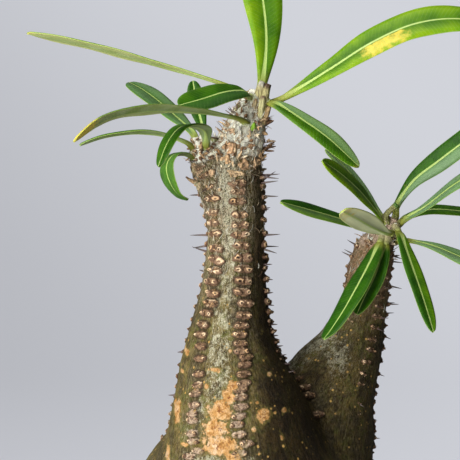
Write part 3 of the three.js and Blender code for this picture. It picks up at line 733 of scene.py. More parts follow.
def grit_finish(tones):
    """Mineral grains: baked clay, pumice and lava, each grain with its own tone."""
    f = Finish("grit")
    where = f.place()
    grain = f.cloud(where, 0.5 * MM, 5, 0.7)
    pores = f.rise(f.cells(where, 0.55 * MM), 0.35, 0.1)
    kinds = f.add("ValToRGB", 0, {0: f.held("own")})
    stops = kinds.socket.node.color_ramp.elements
    stops[0].color, stops[1].color = (*tones.lava, 1), (*tones.pumice, 1)
    for at, tint in ((0.3, tones.baked), (0.62, tones.loam)):
        stops.new(at).color = (*tint, 1)
    colour = f.layered(
        kinds,
        (f.rise(grain, 0.3, 0.7, 0.6), f.mix(0.5, kinds, MARK.grit_dust)),
        (pores * 0.5, MARK.grit_pore))
    return f.done(colour, 0.92, Normal=f.relief((grain, 0.3), (1.0 - pores, 0.2)), Specular_IOR_Level=0.25)


def crown_finish():
    """Crown growth and threads: each part's own tone, with dark splits and pale dust."""
    f = Finish("crown_growth")
    where, own = f.place(), f.held("tone", "Vector")
    grain = f.cloud(where, 0.35 * MM, 4, 0.7)
    streak = f.cloud(f.stretched(where, (1, 1, 0.15)), 0.35 * MM, 3, 0.6)
    colour = f.layered(
        own,
        (f.rise(streak, 0.53, 0.42, 0.8), f.mix(0.7, own, MARK.crown_split)),
        (f.rise(grain, 0.54, 0.7, 0.5), f.mix(0.5, own, MARK.crown_dust)))
    return f.done(colour, 0.65, Normal=f.relief((grain, 0.3)), Specular_IOR_Level=0.3)


def backdrop_finish(look):
    """Pale paper of the floor and backdrop with a faint tooth, and a painted glow that grows brighter to the
    right.
    """
    f = Finish("backdrop_paper")
    where = f.place()
    across, _, up = f.split(where)
    paper = f.mix(f.cloud(where, 8 * MM, 2) * 0.04, look.floor, MARK.paper_tooth)
    glow = f.mix(f.rise(up + across, -0.6, 0.6), look.glow, look.glow_right)
    return f.done(paper, 0.95, Specular_IOR_Level=0.1, Emission_Color=glow, Emission_Strength=1.0)


# Pieces

HUB = 0.01  # the radius of the small flat ends in the middle of a turned form


def lathe_points(profile, sides, wobble=0.0):
    """The points of a turned form, from its profile of radius and height."""
    angle, rings = round_turn(sides), []
    for r, z in profile:
        out = r + wobble * np.sin(2 * angle + 0.05 * z) * (r > 1)
        rings.append(np.stack([out * np.cos(angle), out * np.sin(angle), np.full(sides, z)], 1))
    return np.concatenate(rings)


def lathe_piece(name, profile, sides, finish, replaces, wobble=0.0):
    """A turned piece, its profile listed from the middle below to the middle above."""
    faces = ring_faces(len(profile), sides)
    return make_piece(name, lathe_points(profile, sides, wobble), faces, finish, {}, replaces)


def rounded(profile, radius, steps=5):
    """The profile with each inner corner turned into a small arc."""
    corners = [np.array(p, float) for p in profile]
    made = [corners[0]]
    for before, corner, after in zip(corners, corners[1:], corners[2:]):
        reach = min(radius, np.linalg.norm(corner - before) / 2, np.linalg.norm(after - corner) / 2)
        a, b = corner + unit(before - corner) * reach, corner + unit(after - corner) * reach
        t = np.linspace(0, 1, steps + 1)[:, None]
        made += list((1 - t) ** 2 * a + 2 * t * (1 - t) * corner + t**2 * b)
    return [tuple(p) for p in made] + [tuple(corners[-1])]


def throw_pot(size, tones):
    """The clay pot: tapering wall, thick rim, flat floor and three drain holes."""
    foot, top = size.foot_radius / MM, size.rim_radius / MM
    high = size.height / MM
    under_rim = high - size.rim_height / MM
    inner_foot, floor, edge, longest, holes_out = 38.5, 7, 1.6, 6, 21
    profile = rounded([(HUB, 0), (foot, 0), (top - 5.5, under_rim), (top - 0.6, under_rim + 0.2), (top, high),
                       (top - 7.5, high), (inner_foot, floor), (HUB, floor)], edge)
    fine = []
    for (r0, z0), (r1, z1) in zip(profile, profile[1:]):
        steps = max(1, int(math.hypot(r1 - r0, z1 - z0) / longest))
        fine += [(r0 + (r1 - r0) * k / steps, z0 + (z1 - z0) * k / steps) for k in range(steps)]
    pot = lathe_piece("clay_pot", fine + profile[-1:], 120, clay_finish(tones), ("pot",), 0.15)
    drills = Heap()
    for k in range(3):
        turn = 2 * math.pi * k / 3 + math.pi / 2
        x, y = holes_out * math.cos(turn), holes_out * math.sin(turn)
        drills.add(*tube(((x, y, -4, 5), (x, y, 4, 4.8), (x, y, 12, 5)), 32, 3))
    drill = drills.piece("drill", pot.data.materials[0], "clay")
    bore = pot.modifiers.new("drain_holes", "BOOLEAN")
    bore.object, bore.operation, bore.solver = drill, "DIFFERENCE", "EXACT"
    drilled = carried_out(pot)
    pot.modifiers.clear()
    pot.data = drilled
    bpy.data.objects.remove(drill)


# The kinds of grain, as places on the grit's scale of tones, and how often each comes up
GRAIN_KINDS = (0.02, 0.15, 0.3, 0.36, 0.6, 0.66, 0.9, 1.0)
GRAIN_SHARES = (0.1, 0.1, 0.2, 0.15, 0.2, 0.1, 0.1, 0.05)
BED_TONE = 0.42  # the bed's own place on that scale


def soil_height(radius):
    """The soil's height at a radius: level at the pot's wall and mounded towards the plant."""
    return 86.2 + 2.6 * smooth(50 - radius, 0, 12)


def ball():
    """The points and faces of a small ball."""
    shape = bmesh.new()
    bmesh.ops.create_icosphere(shape, subdivisions=2, radius=1)
    shape.verts.index_update()
    points = np.array([v.co for v in shape.verts], float)
    faces = [[v.index for v in face.verts] for face in shape.faces]
    shape.free()
    return points, faces


def fill_soil(size, tones):
    """The bed of soil, and loose grains packed over it."""
    finish = grit_finish(tones)
    profile = rounded([(HUB, 7.3), (37.6, 7.3), (50.2, 86), (46, 87.6), (34, 88.8), (HUB, 88.8)], 1.0, 3)
    bed = lathe_piece("soil_bed", profile, 96, finish, ("soil",))
    hold(bed.data, {"own": np.full(len(bed.data.vertices), BED_TONE)})
    random, places = np.random.default_rng(21), []
    tries, nearest, farthest = 26000, 36.0, 49.6
    for _ in range(tries):
        grain = random.triangular(0.7, 0.95, size.grain / MM)
        r, turn = math.sqrt(random.uniform(nearest**2, (farthest - grain)**2)), random.uniform(0, 2 * math.pi)
        x, y = r * math.cos(turn), r * math.sin(turn)
        if all(math.hypot(x - a, y - b) > 0.8 * (grain + g) for a, b, g in places):
            places.append((x, y, grain))
    form, faces = ball()
    grains = Heap()
    for number, (x, y, grain) in enumerate(places):
        squash = random.uniform(0.65, 1.15, 3)
        bump = 1 + 0.34 * cloudy(form, 1.1, number) + 0.12 * cloudy(form, 0.45, number)
        stone = form * squash * bump[:, None] * grain
        turn = Vector(random.normal(size=3)).to_track_quat("Z", "Y").to_matrix()
        stone = stone @ np.array(turn)
        z = soil_height(math.hypot(x, y)) + 0.25 * grain * random.uniform(-0.6, 1.6)
        grains.add(stone + (x, y, z), faces, own=random.choice(GRAIN_KINDS, p=GRAIN_SHARES))
    grains.piece("soil_grains", finish, "grit")


def bark_relief(points, place, pads, size):
    """How far the bark stands out at each point of the grown skin, and its masks for the finish."""
    high = size.pad_height / MM
    raised, pad_mask, round_pad, lid = (np.zeros(len(points)) for _ in range(4))
    uneven = 0.4 * cloudy(points, 1.3, 6) + 0.25 * cloudy(points, 0.6, 7)
    widest = 6
    for pad in pads:
        near = np.flatnonzero(((points - pad.seat) ** 2).sum(1) < widest**2)
        offset, ripe = points[near] - pad.seat, pad.ripe
        u, v = offset @ pad.across, offset @ pad.up
        girth = pad.size * (1 - 0.22 * pad.low)
        reach = (np.abs(u) / (2.6 * girth)) ** 2.6 + (np.abs(v) / (1.25 * girth)) ** 2.2 + uneven[near]
        swell = high * (0.4 + 0.6 * ripe) * pad.size * (1 - smooth(reach, 0.2, 1.35))
        swell *= 1 - 0.3 * np.exp(-(u / 0.8) ** 2)
        rim = np.exp(-((reach - 0.85) / 0.3) ** 2) * smooth(v, 0.1, 0.9) * pad.lid
        # The widest ring round each pad is painted shade in the bark's finish
        for mask, value in ((raised, swell), (lid, rim),
                            (pad_mask, (0.6 + 0.4 * ripe) * pad.size * (1 - smooth(reach, 0.6, 1.7))),
                            (round_pad, ripe * pad.size * (1 - smooth(reach, 1.0, 3.4)))):
            mask[near] = np.maximum(mask[near], value)
    stretched = place * (1, 1, 0.14)
    ribs = cloudy(stretched, 1.5, 3) + 0.6 * cloudy(stretched, 0.8, 5)
    folds = cloudy(place * (0.15, 0.15, 1), 1.2, 9)
    wrinkled = pad_mask * cloudy(place * (0.35, 0.35, 1), 0.55, 41)
    lift = raised + 0.28 * wrinkled + 0.15 * ribs + 0.4 * cloudy(points, 13, 1) + 0.1 * folds
    lift -= 0.35 * smooth(points[:, 2], 140, 160)
    lift += 0.16 * lid
    return lift, {"limb_place": place * MM, "pad": pad_mask, "round_pad": round_pad, "lid": lid}


# Flaked places on the front of the main arm: across, height, half width, half height, strength
PEELS = (
    (-7.1, 172.4, 1.7, 1.5, 0.9), (-8.2, 169.1, 1.9, 2.6, 1), (-10.3, 165, 3.8, 3.2, 1),
    (-11.6, 160.1, 4.3, 3.4, 1), (-10.7, 155.3, 5.6, 3.2, 1), (-6.6, 152.2, 2.6, 1.6, 0.8),
    (2.5, 163.8, 2.1, 2.2, 0.95), (-23.7, 163.8, 1.2, 3.8, 0.9), (-26.5, 150.7, 0.7, 3.6, 0.9),
    (-21.4, 154.6, 1.3, 0.6, 0.9), (-7.6, 182.4, 0.7, 1.0, 0.75), (-21.1, 181.3, 0.9, 1.7, 0.75),
    (-12.4, 176.8, 2.2, 0.8, 0.75), (-14.6, 171.9, 0.9, 0.8, 0.9), (-22.3, 175.3, 0.8, 0.8, 0.7),
    (4.3, 175.3, 0.6, 0.7, 0.9), (-0.5, 159.8, 0.7, 0.7, 0.9), (-1.3, 167.4, 0.5, 0.4, 0.9),
    (0.5, 167.4, 0.5, 0.4, 0.9), (5.9, 164.4, 0.5, 0.5, 0.9), (8.7, 165, 0.8, 0.7, 0.9),
    (8, 157.1, 0.5, 0.8, 0.8), (1.1, 153, 0.5, 0.5, 0.9))


def bark_masks(points, ways, place, main):
    """Where lichen, painted sheen, wool and flaked bark lie, and how the felt of the wool is crumpled."""
    angle = np.degrees(np.arctan2(place[:, 1], place[:, 0]))
    x, y, z = points.T
    on_body, on_main, on_back, on_shoot = ((main == k).astype(float) for k in range(4))

    def stripe(middle, half):
        away = np.abs((angle - middle + 180) % 360 - 180)
        return 1 - smooth(away, half * 0.5, half * 1.5)

    worn = z + 2.2 * cloudy(points, 3, 51)
    mottled = cloudy(points * (1, 1, 0.6), 11, 52) + 0.4 * cloudy(points, 3.5, 53)
    # Up the front between the two columns, in a belt at the foot, and mottled on the body
    lichen = stripe(-104, 17) * smooth(z, 150, 168) * (0.65 + 0.2 * smooth(z, 200, 230)) * on_main
    lichen += 0.75 * stripe(-108, 26) * (1 - smooth(worn, 151, 154)) * smooth(worn, 145.5, 149.5) * (y < 0)
    lichen += 0.4 * smooth(mottled, 0.05, 0.5) * on_body
    # Left of the columns at the foot, on both sides of the neck, and under the crown
    lichen += 0.4 * stripe(-131, 11) * smooth(z, 150, 158) * (1 - smooth(z, 166, 176)) * on_main
    lichen += 0.3 * stripe(-155, 16) * smooth(z, 196, 214) * on_main
    lichen += 0.25 * stripe(-52, 18) * smooth(z, 200, 228) * on_main
    lichen += 0.25 * smooth(z, 222, 234) * on_main
    # Painted sheen where the light falls on the left of the back arm; lichen on the side shoot, round the back,
    # and in one patch on the back arm
    lichen += 0.6 * smooth(-ways[:, 0], 0.45, 0.8) * (z < 196) * (z > 150) * on_back
    lichen += 0.4 * on_shoot + 0.05 * on_back + 0.25 * stripe(90, 90) * on_main
    lichen += 0.8 * np.exp(-((x - 25.5) / 4.5) ** 2 - ((z - 178) / 7) ** 2) * on_back * (ways[:, 1] < 0)
    wool = smooth(z + 1.5 * cloudy(points, 5, 31), 236, 244) * on_main
    wool = np.maximum(wool, smooth(place[:, 2], 13, 18) * on_shoot)
    wool = np.maximum(wool, 0.9 * smooth(z + 1.5 * cloudy(points, 3, 32), 208, 216) * on_back)
    crag = 1 - np.abs(cloudy(points, 2.4, 17)) * 2.2 + 0.3 * cloudy(points, 0.9, 18)
    peel = np.zeros(len(points))
    for across, high, wide, tall, strength in PEELS:
        near = np.sqrt(((x - across) / wide) ** 2 + ((z - high) / tall) ** 2)
        peel = np.maximum(peel, strength * (1.35 - 0.85 * near) * (place[:, 1] < 0) * on_main)
    return {"lichen": lichen, "wool": wool, "crag": crag, "peel": np.clip(peel, 0, 1.25)}


def bark_shades(points, ways, say, places):
    """Where the bark has painted shade, turns tan or pale, and has more threads."""
    x, _, z = points.T
    angle = np.degrees(np.arctan2(places[1][:, 1], places[1][:, 0]))
    # Painted shade: the main arm darkens towards its right, but not in the crown, and the back arm in front and
    # in the hollow of the fork
    low = 1 - smooth(z, 172, 196)
    shaded = np.maximum(smooth(angle, -66, -42), low * smooth(x, -4, 4.5) * (angle < 0))
    dusk = 0.9 * shaded * (1 - smooth(angle, 20, 60)) * say[1]
    dusk *= 1 - 0.85 * smooth(z, 233, 240)
    fork_shade = np.exp(-((x - 19) / 3) ** 2 - ((z - 173.5) / 5) ** 2) * (ways[:, 1] < 0)
    dusk += (0.36 * (1 - smooth(z, 181, 193)) * smooth(ways[:, 0], -0.75, -0.3) + 0.4 * fork_shade) * say[2]
    return {"dusk": dusk, "tanned": smooth(z, 186, 206) * say[2], "thready": smooth(z, 185, 225),
            "faded": (1 - smooth(z, 160, 176)) * say[1]}


def limb_ring(limb, along, angle):
    """A ring of points round a limb."""
    side, across = limb.at(along, limb.side), limb.at(along, limb.across)
    way = side * np.cos(angle)[:, None] + across * np.sin(angle)[:, None]
    girth = limb.at(along, limb.radii) + limb.swell(along, angle)
    return limb.at(along, limb.middle) + way * np.reshape(girth, (-1, 1))


def rough_skin(size):
    """One mesh over all the limbs, open underneath and finer at the front of the arms."""
    heap, rings, sides = Heap(), 120, 96
    for limb in LIMBS:
        rows = [limb_ring(limb, along, round_turn(sides)) for along in np.linspace(0, limb.length, rings)]
        heap.add(np.concatenate(rows), ring_faces(rings, sides))
    rough = heap.piece("rough_form", None, "bark")
    shrink = rough.modifiers.new("one_skin", "REMESH")
    shrink.mode, shrink.voxel_size = "VOXEL", size.skin_grain
    skin = carried_out(rough)
    bpy.data.objects.remove(rough)
    underneath, foot, behind, right = 66 * MM, 146 * MM, 12 * MM, 24 * MM

    def at_front(edge):
        x, y, _ = edge.verts[0].co
        return min(v.co.z for v in edge.verts) > foot and y < behind and x < right

    form = bmesh.new()
    form.from_mesh(skin)
    bmesh.ops.delete(form, geom=[v for v in form.verts if v.co.z < underneath], context="VERTS")
    fine = [edge for edge in form.edges if at_front(edge)]
    bmesh.ops.subdivide_edges(form, edges=fine, cuts=1, use_grid_fill=True)
    form.to_mesh(skin)
    form.free()
    return skin


def grow_bark(size, tones):
    """The skin of the body, arms and side shoot as one grown form, with pads, ribs and folds in relief."""
    skin = rough_skin(size)
    points = np.zeros(3 * len(skin.vertices))
    skin.vertices.foreach_get("co", points)
    points = settled(points.reshape(-1, 3) / MM)
    _, ways, say, places = grown_skin(points)
    main = say.argmax(0)
    place = places[main, np.arange(len(points))]
    lift, held = bark_relief(points, place, all_pads(), size)
    held |= bark_masks(points, ways, place, main) | bark_shades(points, ways, say, places)
    lift += held["wool"] * (0.6 * np.clip(held["crag"], -0.4, 1) - 0.3 + 0.3 * cloudy(points, 1.1, 12))
    lift += 0.22 * smooth(held["peel"], 0.5, 0.7) * cloudy(points, 1.5, 14)
    skin.vertices.foreach_set("co", ((points + ways * lift[:, None]) * MM).ravel())
    hold(skin, held)
    finish = bark_finish(tones)
    paint(skin, finish)
    skin.name = "bark_skin"
    ride_piece("bark_skin", skin, ("plant_body",))
    roots, plain = Heap(), {name: 0.0 for name in held if name != "limb_place"}
    for stations in ROOTS:
        points, faces = tube(stations, 12, 16)
        roots.add(points, faces, limb_place=points * MM, **plain)
    roots.piece("thick_roots", finish, "bark")


def bark_surface():
    """The finished bark as a tree to look places up in. The bark has to be grown first."""
    piece = bpy.data.objects.get("bark_skin")
    if piece is None:
        raise RuntimeError("the bark skin isn't there: grow the bark first")
    points = [v.co / MM for v in piece.data.vertices]
    return BVHTree.FromPolygons(points, [p.vertices for p in piece.data.polygons])


def on_bark(tree, seat, out):
    """The bark's own point under a seat on the smooth skin."""
    hit, _, _, _ = tree.ray_cast(Vector(seat + 4 * out), Vector(-out), 8)
    return np.array(hit) if hit is not None else seat


def limb_seat(tree, limb, along, turn):
    """A place on the bark of a limb, the way out of it and the way the limb grows there."""
    seat, out = limb.skin(along, turn)
    return on_bark(tree, seat, out), out, limb.at(along, limb.ahead)


# A tubercle from its buried foot to the hollow in its top: radius, height, rim and pit
KNOB_RINGS = ((1.45, -0.4, 0, 0), (1.2, 0.08, 0, 0), (0.95, 0.45, 0.3, 0), (0.74, 0.75, 0.9, 0),
              (0.53, 0.85, 1, 0), (0.35, 0.55, 0.3, 1), (0.1, 0.3, 0, 1))


def grow_knobs(size, tones):
    """The paired tubercles of every pad, each a low worn cone with a hollow, and crumbs between them."""
    tree, random, heap = bark_surface(), np.random.default_rng(8), Heap()
    radius, height, rim, pit = np.array(KNOB_RINGS).T[..., None]
    for pad in all_pads():
        low = pad.low
        crumbs = [(random.uniform(-1.2, 1.2), random.uniform(-0.9, 0.9), random.uniform(0.25, 0.5))
                  for _ in range(3)]
        for hand, shift, share in ((-1, 0, 1), (1, 0, 1), *crumbs):
            sides = 10 if share == 1 else 6
            angle = round_turn(sides)
            wide = size.knob_width / MM / 2 * pad.size * random.uniform(0.7, 1.2) * (1.18 - 0.54 * low) * share
            tall = size.knob_height / MM * pad.size * random.uniform(0.6, 1.3)
            tall *= (1 - 0.35 * low) * (0.4 + 0.6 * share)
            seat = pad.seat + pad.across * hand * pad.spread(size, random)
            seat = on_bark(tree, seat + pad.up * (shift + random.uniform(-0.25, 0.3)), pad.out)
            lean = pad.out + pad.across * hand * random.uniform(0.1, 0.5)
            lean = unit(lean + pad.up * random.uniform(-0.15, 0.45))
            right = unit(pad.across - lean * (pad.across @ lean))
            up = np.cross(lean, right)
            jag = 1 + random.uniform(-0.3, 0.3, sides)
            chip = random.uniform(-0.4, 0.2, sides) * (rim > 0.4)
            squeeze = random.uniform(0.5, 0.85)
            ways = np.cos(angle)[:, None] * right + np.sin(angle)[:, None] * up * squeeze
            points = seat + (radius * wide * jag)[..., None] * ways + ((height + chip) * tall)[..., None] * lean
            slip = right * random.uniform(-0.2, 0.2) + up * random.uniform(-0.2, 0.2)
            points += slip * (rim + pit)[..., None] * 0.5
            # The rim's wear, plus a painted highlight that peaks towards the upper side, where the light falls
            worn = random.uniform(0.35, 1.0) + 0.15 * (1 - low) + 0.5 * np.cos(angle - random.uniform(0.3, 3.3))
            heap.add(points.reshape(-1, 3), ring_faces(len(KNOB_RINGS), sides), rim=(rim * worn).ravel(),
                     pit=pit.repeat(sides) * random.choice((1.0, 0.9, 0.4)),
                     own=random.random() ** (1 + 0.2 * low) * (1 - 0.15 * low))
    heap.piece("tubercles", knob_finish(tones), "bark")


def thorn(seat, way, length, radius, random):
    """The points and faces of one slightly bent spine, and how near each point is to its tip."""
    rings, sides, bend = 6, 7, 0.05
    sway = unit(random.normal(size=3)) * length * bend
    t = np.linspace(0, 1, rings)
    stations = [(*(seat + way * (length * k - 0.5) + sway * k * k), radius * (1 - k) ** 0.7 + 0.04) for k in t]
    points, faces = tube(stations, sides, rings, side=(0.3, 0.2, 1))
    return points, faces, np.repeat(t, sides)


# The spines that stand out against the light, on the main arm: height, degrees, length, lean up, tone
EDGE_SPINES = (
    (235, -14, 5.2, 0.12, 0.1), (234.2, -20, 5.0, -0.12, 0), (232.6, -12, 4.6, 0.62, 0.2),
    (231.6, -20, 4.6, 0.1, 0.3), (227.6, -12, 3.9, -0.1, 1), (216.2, -12, 4.2, 0.0, 0.1),
    (212.2, -14, 3.7, -0.2, 1), (207.8, -16, 2.2, 0.1, 0), (223.6, -14, 1.4, 0.1, 0),
    (203.5, -14, 1.6, 0.0, 0), (199.5, -14, 1.2, 0.2, 0), (196, -14, 1.4, 0, 0), (238.6, -140, 1.6, 0.2, 1),
    (228.8, 176, 2.6, 0.05, 0.9), (216.2, 176, 4.8, 0.05, 0.7), (212.6, 176, 4.0, -0.2, 0.5),
    (210.8, 180, 4.4, 0.25, 0.2), (204.6, 176, 1.2, 0.2, 0), (189.6, -12, 1.5, 0, 0), (186, -12, 1.3, 0.1, 0),
    (182.4, -12, 1.6, 0.05, 0), (179, -12, 1.3, 0.2, 0), (175.6, -12, 1.7, 0, 0), (172.6, -14, 1.5, 0.2, 0),
    (170, 178, 1.6, 0.1, 0.3), (181, 176, 1.2, 0, 0.2))
USUAL_SPINE = 4.5  # the spine length that the lengths in this script are meant for


def grow_spines(size, tones):
    """Spines in the hollows of the upper tubercles: long ones near the crowns, worn stubs below."""
    tree, random, heap = bark_surface(), np.random.default_rng(15), Heap()
    scale = size.spine_length / MM / USUAL_SPINE

    def stand(seat, out, up, long, lean, own, radius=0.34):
        seat = on_bark(tree, seat, out)
        way = unit(out + up * lean)
        points, faces, tip = thorn(seat, way, long * scale + 0.9, radius, random)
        heap.add(points, faces, tip=tip, own=own)

    for height, turn, long, lean, own in EDGE_SPINES:
        along = MAIN_LIMB.at_height(height)
        seat, out = MAIN_LIMB.skin(along, math.radians(turn))
        stand(seat, out, MAIN_LIMB.at(along, MAIN_LIMB.ahead), long, lean, own)
    for pad in all_pads():
        height = pad.seat[2]
        chance, keen = 0.4, 0.4
        if pad.limb == 1:
            keen = float(smooth(height, 196, 216))
            chance = 0.12 + 0.36 * keen
        elif pad.limb == 2:
            keen = 0.75 * float(smooth(height, 178, 196))
            chance = 0.08 + 0.24 * keen
        for hand in (-1, 1):
            at_front = pad.limb == 1 and (pad.out[1] < 0.3 or pad.out[1] < 0.6 and random.random() < 0.8)
            if random.random() > chance or at_front or abs(pad.out[1]) > 0.93 and random.random() < 0.6:
                continue
            long = 1.3 + 3.2 * keen * random.uniform(0.5, 1.1)
            seat = pad.seat + pad.across * hand * pad.spread(size, random)
            out = unit(pad.out + pad.across * hand * 0.3)
            stand(seat, out, pad.up, long, random.uniform(-0.1, 0.25), random.random(), 0.2 + 0.1 * keen)
    heap.piece("spines", spine_finish(tones), "bark")


SCALE_RINGS = 6


def scale_leaf(seat, way, flat, length, width, curl):
    """The points and faces of one dried bract: a thin pointed scale that curls away from the stem."""
    t = np.linspace(0, 1, SCALE_RINGS)[:, None]
    side = unit(np.cross(way, flat))
    line = seat + way * length * (t - 0.12) + flat * length * curl * t**2
    half = width / 2 * np.sin(np.clip(0.35 + t * 2.6, 0, math.pi)) ** 0.8 + 0.05
    thick = 0.22 * (1 - 0.7 * t)
    corners = [line - side * half, line - flat * thick, line + side * half, line + flat * thick * 0.4]
    return np.stack(corners, 1).reshape(-1, 3), ring_faces(SCALE_RINGS, 4)


# Stumps of old stalks on the crowns: path with radii, tone of the side and tone of the end
OLD_STALK = (0.46, 0.41, 0.18)
STUMPS = (
    (((-0.2, -6.6, 250, 1.9), (0.7, -7.6, 256, 1.5), (1.6, -8.2, 260.6, 1.15), (2.2, -8.2, 262.6, 0.7)),
     OLD_STALK, (0.5, 0.48, 0.38)),
    (((1.4, -7.2, 250, 1.9), (2.4, -8.2, 256, 1.4), (3.3, -8.6, 260, 1.1), (4.0, -8.6, 261.8, 0.85)),
     OLD_STALK, (0.06, 0.03, 0.015)),
    (((1.2, -8.4, 251, 1.3), (1.9, -9.6, 255, 1.0), (2.4, -9.9, 258.2, 0.6)),
     (0.55, 0.52, 0.25), (0.24, 0.17, 0.09)),
    (((-0.8, -8.4, 251, 1.2), (-0.5, -9.4, 254.4, 0.9), (0.1, -9.6, 257.4, 0.5)),
     (0.60, 0.48, 0.26), (0.30, 0.2, 0.1)),
    (((2.2, -8, 250, 1.0), (3.5, -8.9, 253, 0.8), (4.4, -9, 255.4, 0.5)),
     (0.44, 0.30, 0.14), (0.10, 0.06, 0.03)),
    (((0.4, -4.6, 251, 1.6), (1.2, -4.2, 256, 1.2), (1.8, -3.8, 259.4, 0.9)),
     (0.50, 0.36, 0.20), (0.08, 0.05, 0.03)),
    (((-15.6, -8.5, 231.8, 1.2), (-17.8, -8.9, 232.2, 0.8), (-19.4, -9.2, 232.8, 0.5),
      (-20.9, -9.4, 233.9, 0.22)), (0.80, 0.54, 0.30), (0.34, 0.18, 0.09)),
    (STUBS[0], (0.36, 0.40, 0.16), (0.07, 0.04, 0.02)),
    (STUBS[1], (0.28, 0.28, 0.10), (0.08, 0.20, 0.03)))

# Large worn scars and lumps near the crowns: limb, height, degrees, width, height, how far out, tone
SCARS = (
    (1, 241.5, -114, 4.2, 3.8, 1.0, (0.72, 0.44, 0.24)), (1, 238.2, -109, 3.4, 2.5, 0.9, (0.80, 0.52, 0.28)),
    (1, 238.2, -69, 3.8, 3.8, 1.0, (0.55, 0.34, 0.18)), (1, 235.0, -84, 5.2, 2.2, 0.7, (0.75, 0.53, 0.3)),
    (1, 234.8, -128, 2.8, 2.2, 0.8, (0.72, 0.48, 0.27)), (3, 237.4, -146, 3.2, 3.0, 1.4, (0.98, 0.70, 0.40)),
    (3, 234.0, -148, 2.8, 2.8, 1.4, (1.0, 0.76, 0.46)), (3, 240.2, -158, 2.2, 1.8, 0.8, (0.66, 0.42, 0.22)),
    (3, 236.5, -118, 2.4, 1.8, 0.7, (0.62, 0.42, 0.25)), (1, 246.6, -128, 2.6, 2.0, 0.8, (0.74, 0.5, 0.3)),
    (1, 243.6, -62, 2.6, 2.2, 0.9, (0.5, 0.3, 0.16)), (1, 249.6, -112, 2.2, 1.7, 0.7, (0.7, 0.56, 0.38)),
    (1, 250.8, -58, 2.0, 1.6, 0.8, (0.34, 0.18, 0.09)), (1, 240.6, -30, 2.6, 2.2, 1.0, (0.72, 0.46, 0.25)))
# A scar from its buried edge to its middle: radius, height and shade; the shade is painted, darker at the foot
# and in the hollow middle, lighter on the raised rim
SCAR_RINGS = ((1.15, -0.6, 0.5), (1, 0.0, 0.65), (0.86, 0.4, 1.0), (0.68, 0.62, 1.15), (0.5, 0.5, 0.7),
              (0.3, 0.62, 0.95), (0.05, 0.5, 0.5))

# Bracts all round the crowns: limb, lowest and highest, how many, size; and their tones
BRACTS = ((1, 236, 257, 150, 0.9), (3, 238, 245.5, 60, 0.75), (2, 209, 219.5, 110, 0.8), (3, 230, 238, 24, 0.8))
BRACT_TONES = ((0.78, 0.56, 0.33), (0.62, 0.40, 0.21), (0.86, 0.72, 0.5), (0.30, 0.16, 0.07),
               (0.95, 0.93, 0.78))

# Tufts of bracts and dry threads: foot, way, how many, length, width, tone and how far they spread
TUFTS = (
    ((2.6, -7.5, 241.6), (0.85, -0.2, 0.5), 12, 4.4, 0.6, (0.20, 0.11, 0.06), 0.28),
    ((3.4, -7.5, 243.6), (0.95, -0.1, 0.2), 6, 3.2, 0.6, (0.40, 0.28, 0.17), 0.35),
    ((2.9, -7.8, 250.6), (0.9, -0.2, 0.5), 9, 2.4, 1.1, (0.20, 0.10, 0.05), 0.35),
    ((3.0, -7.8, 253.6), (0.8, -0.2, 0.6), 6, 2.4, 0.8, (0.30, 0.18, 0.09), 0.35),
    ((-7.2, -8.2, 248.2), (-0.6, -0.3, 0.7), 10, 3.4, 1.2, (0.58, 0.40, 0.24), 0.35),
    ((-8.4, -8.4, 245.4), (-0.75, -0.3, 0.6), 10, 2.6, 1.1, (0.45, 0.29, 0.16), 0.35),
    ((-13.2, -11, 241.0), (0.3, -0.4, 0.9), 9, 2.4, 1.0, (0.40, 0.24, 0.12), 0.35),
    ((-4.2, -8.2, 254.0), (-0.5, -0.3, 0.8), 7, 2.4, 1.0, (0.45, 0.42, 0.2), 0.35),
    ((-17.4, -11.2, 236.9), (-0.8, -0.5, 0.4), 12, 2.2, 1.5, (0.95, 0.68, 0.40), 0.5),
    ((-16.4, -11.6, 234.4), (-0.8, -0.5, 0.2), 10, 2.0, 1.4, (0.98, 0.72, 0.44), 0.5),
    ((1.6, -9.8, 240.0), (0.3, -0.7, 0.7), 14, 3.0, 0.8, (0.52, 0.34, 0.18), 0.5),
    ((0.0, -11.4, 237.2), (0.1, -0.8, 0.6), 12, 2.6, 0.8, (0.66, 0.45, 0.26), 0.5),
    ((-5.4, -8.5, 252.4), (-0.7, -0.3, 0.7), 5, 4.6, 0.4, (0.34, 0.28, 0.25), 0.14),
    ((-7.8, -9.0, 246.4), (-0.7, -0.35, 0.7), 3, 5.4, 0.8, (0.66, 0.48, 0.30), 0.1),
    ((-4.5, -10.6, 243.6), (-0.2, -0.9, 0.5), 16, 2.4, 1.1, (0.80, 0.60, 0.38), 0.5),
    ((-0.6, -10.8, 246.6), (0.2, -0.9, 0.6), 12, 2.2, 0.8, (0.86, 0.78, 0.58), 0.5))


def add_stalk_feet(heap):
    """The woolly foot of every leaf's stalk, which turns green where it meets the leaf."""
    green, dull_wool, pale_wool = ((0.34, 0.40, 0.09), (0.34, 0.30, 0.16), (0.84, 0.85, 0.72))
    rings, sides = 9, 16
    for name, leaf in LEAVES.items():
        seat, onward = (np.array(p, float) for p in leaf["path"][:2])
        way = unit(onward - seat)
        ahead = 1.8 if name == "leaf_main_near_left" else 0.2
        stout, wool = (0.75, dull_wool) if "back" in name else (1.0, pale_wool)
        steps = ((3.2, 2.3 * stout), (1.7, 1.6 * stout), (0.6, 1.2), (-ahead, 0.95))
        points, faces = tube([(*(seat - way * back), radius) for back, radius in steps], sides, rings)
        share = np.linspace(0, 1, rings).repeat(sides)[:, None]
        rough = (0.28 * cloudy(points, 0.9, 2)[:, None] * (1.1 - share)) * unit(points - seat + way)
        heap.add(points + rough, faces, tone=np.array(wool) * (1 - share**2) + np.array(green) * share**2)


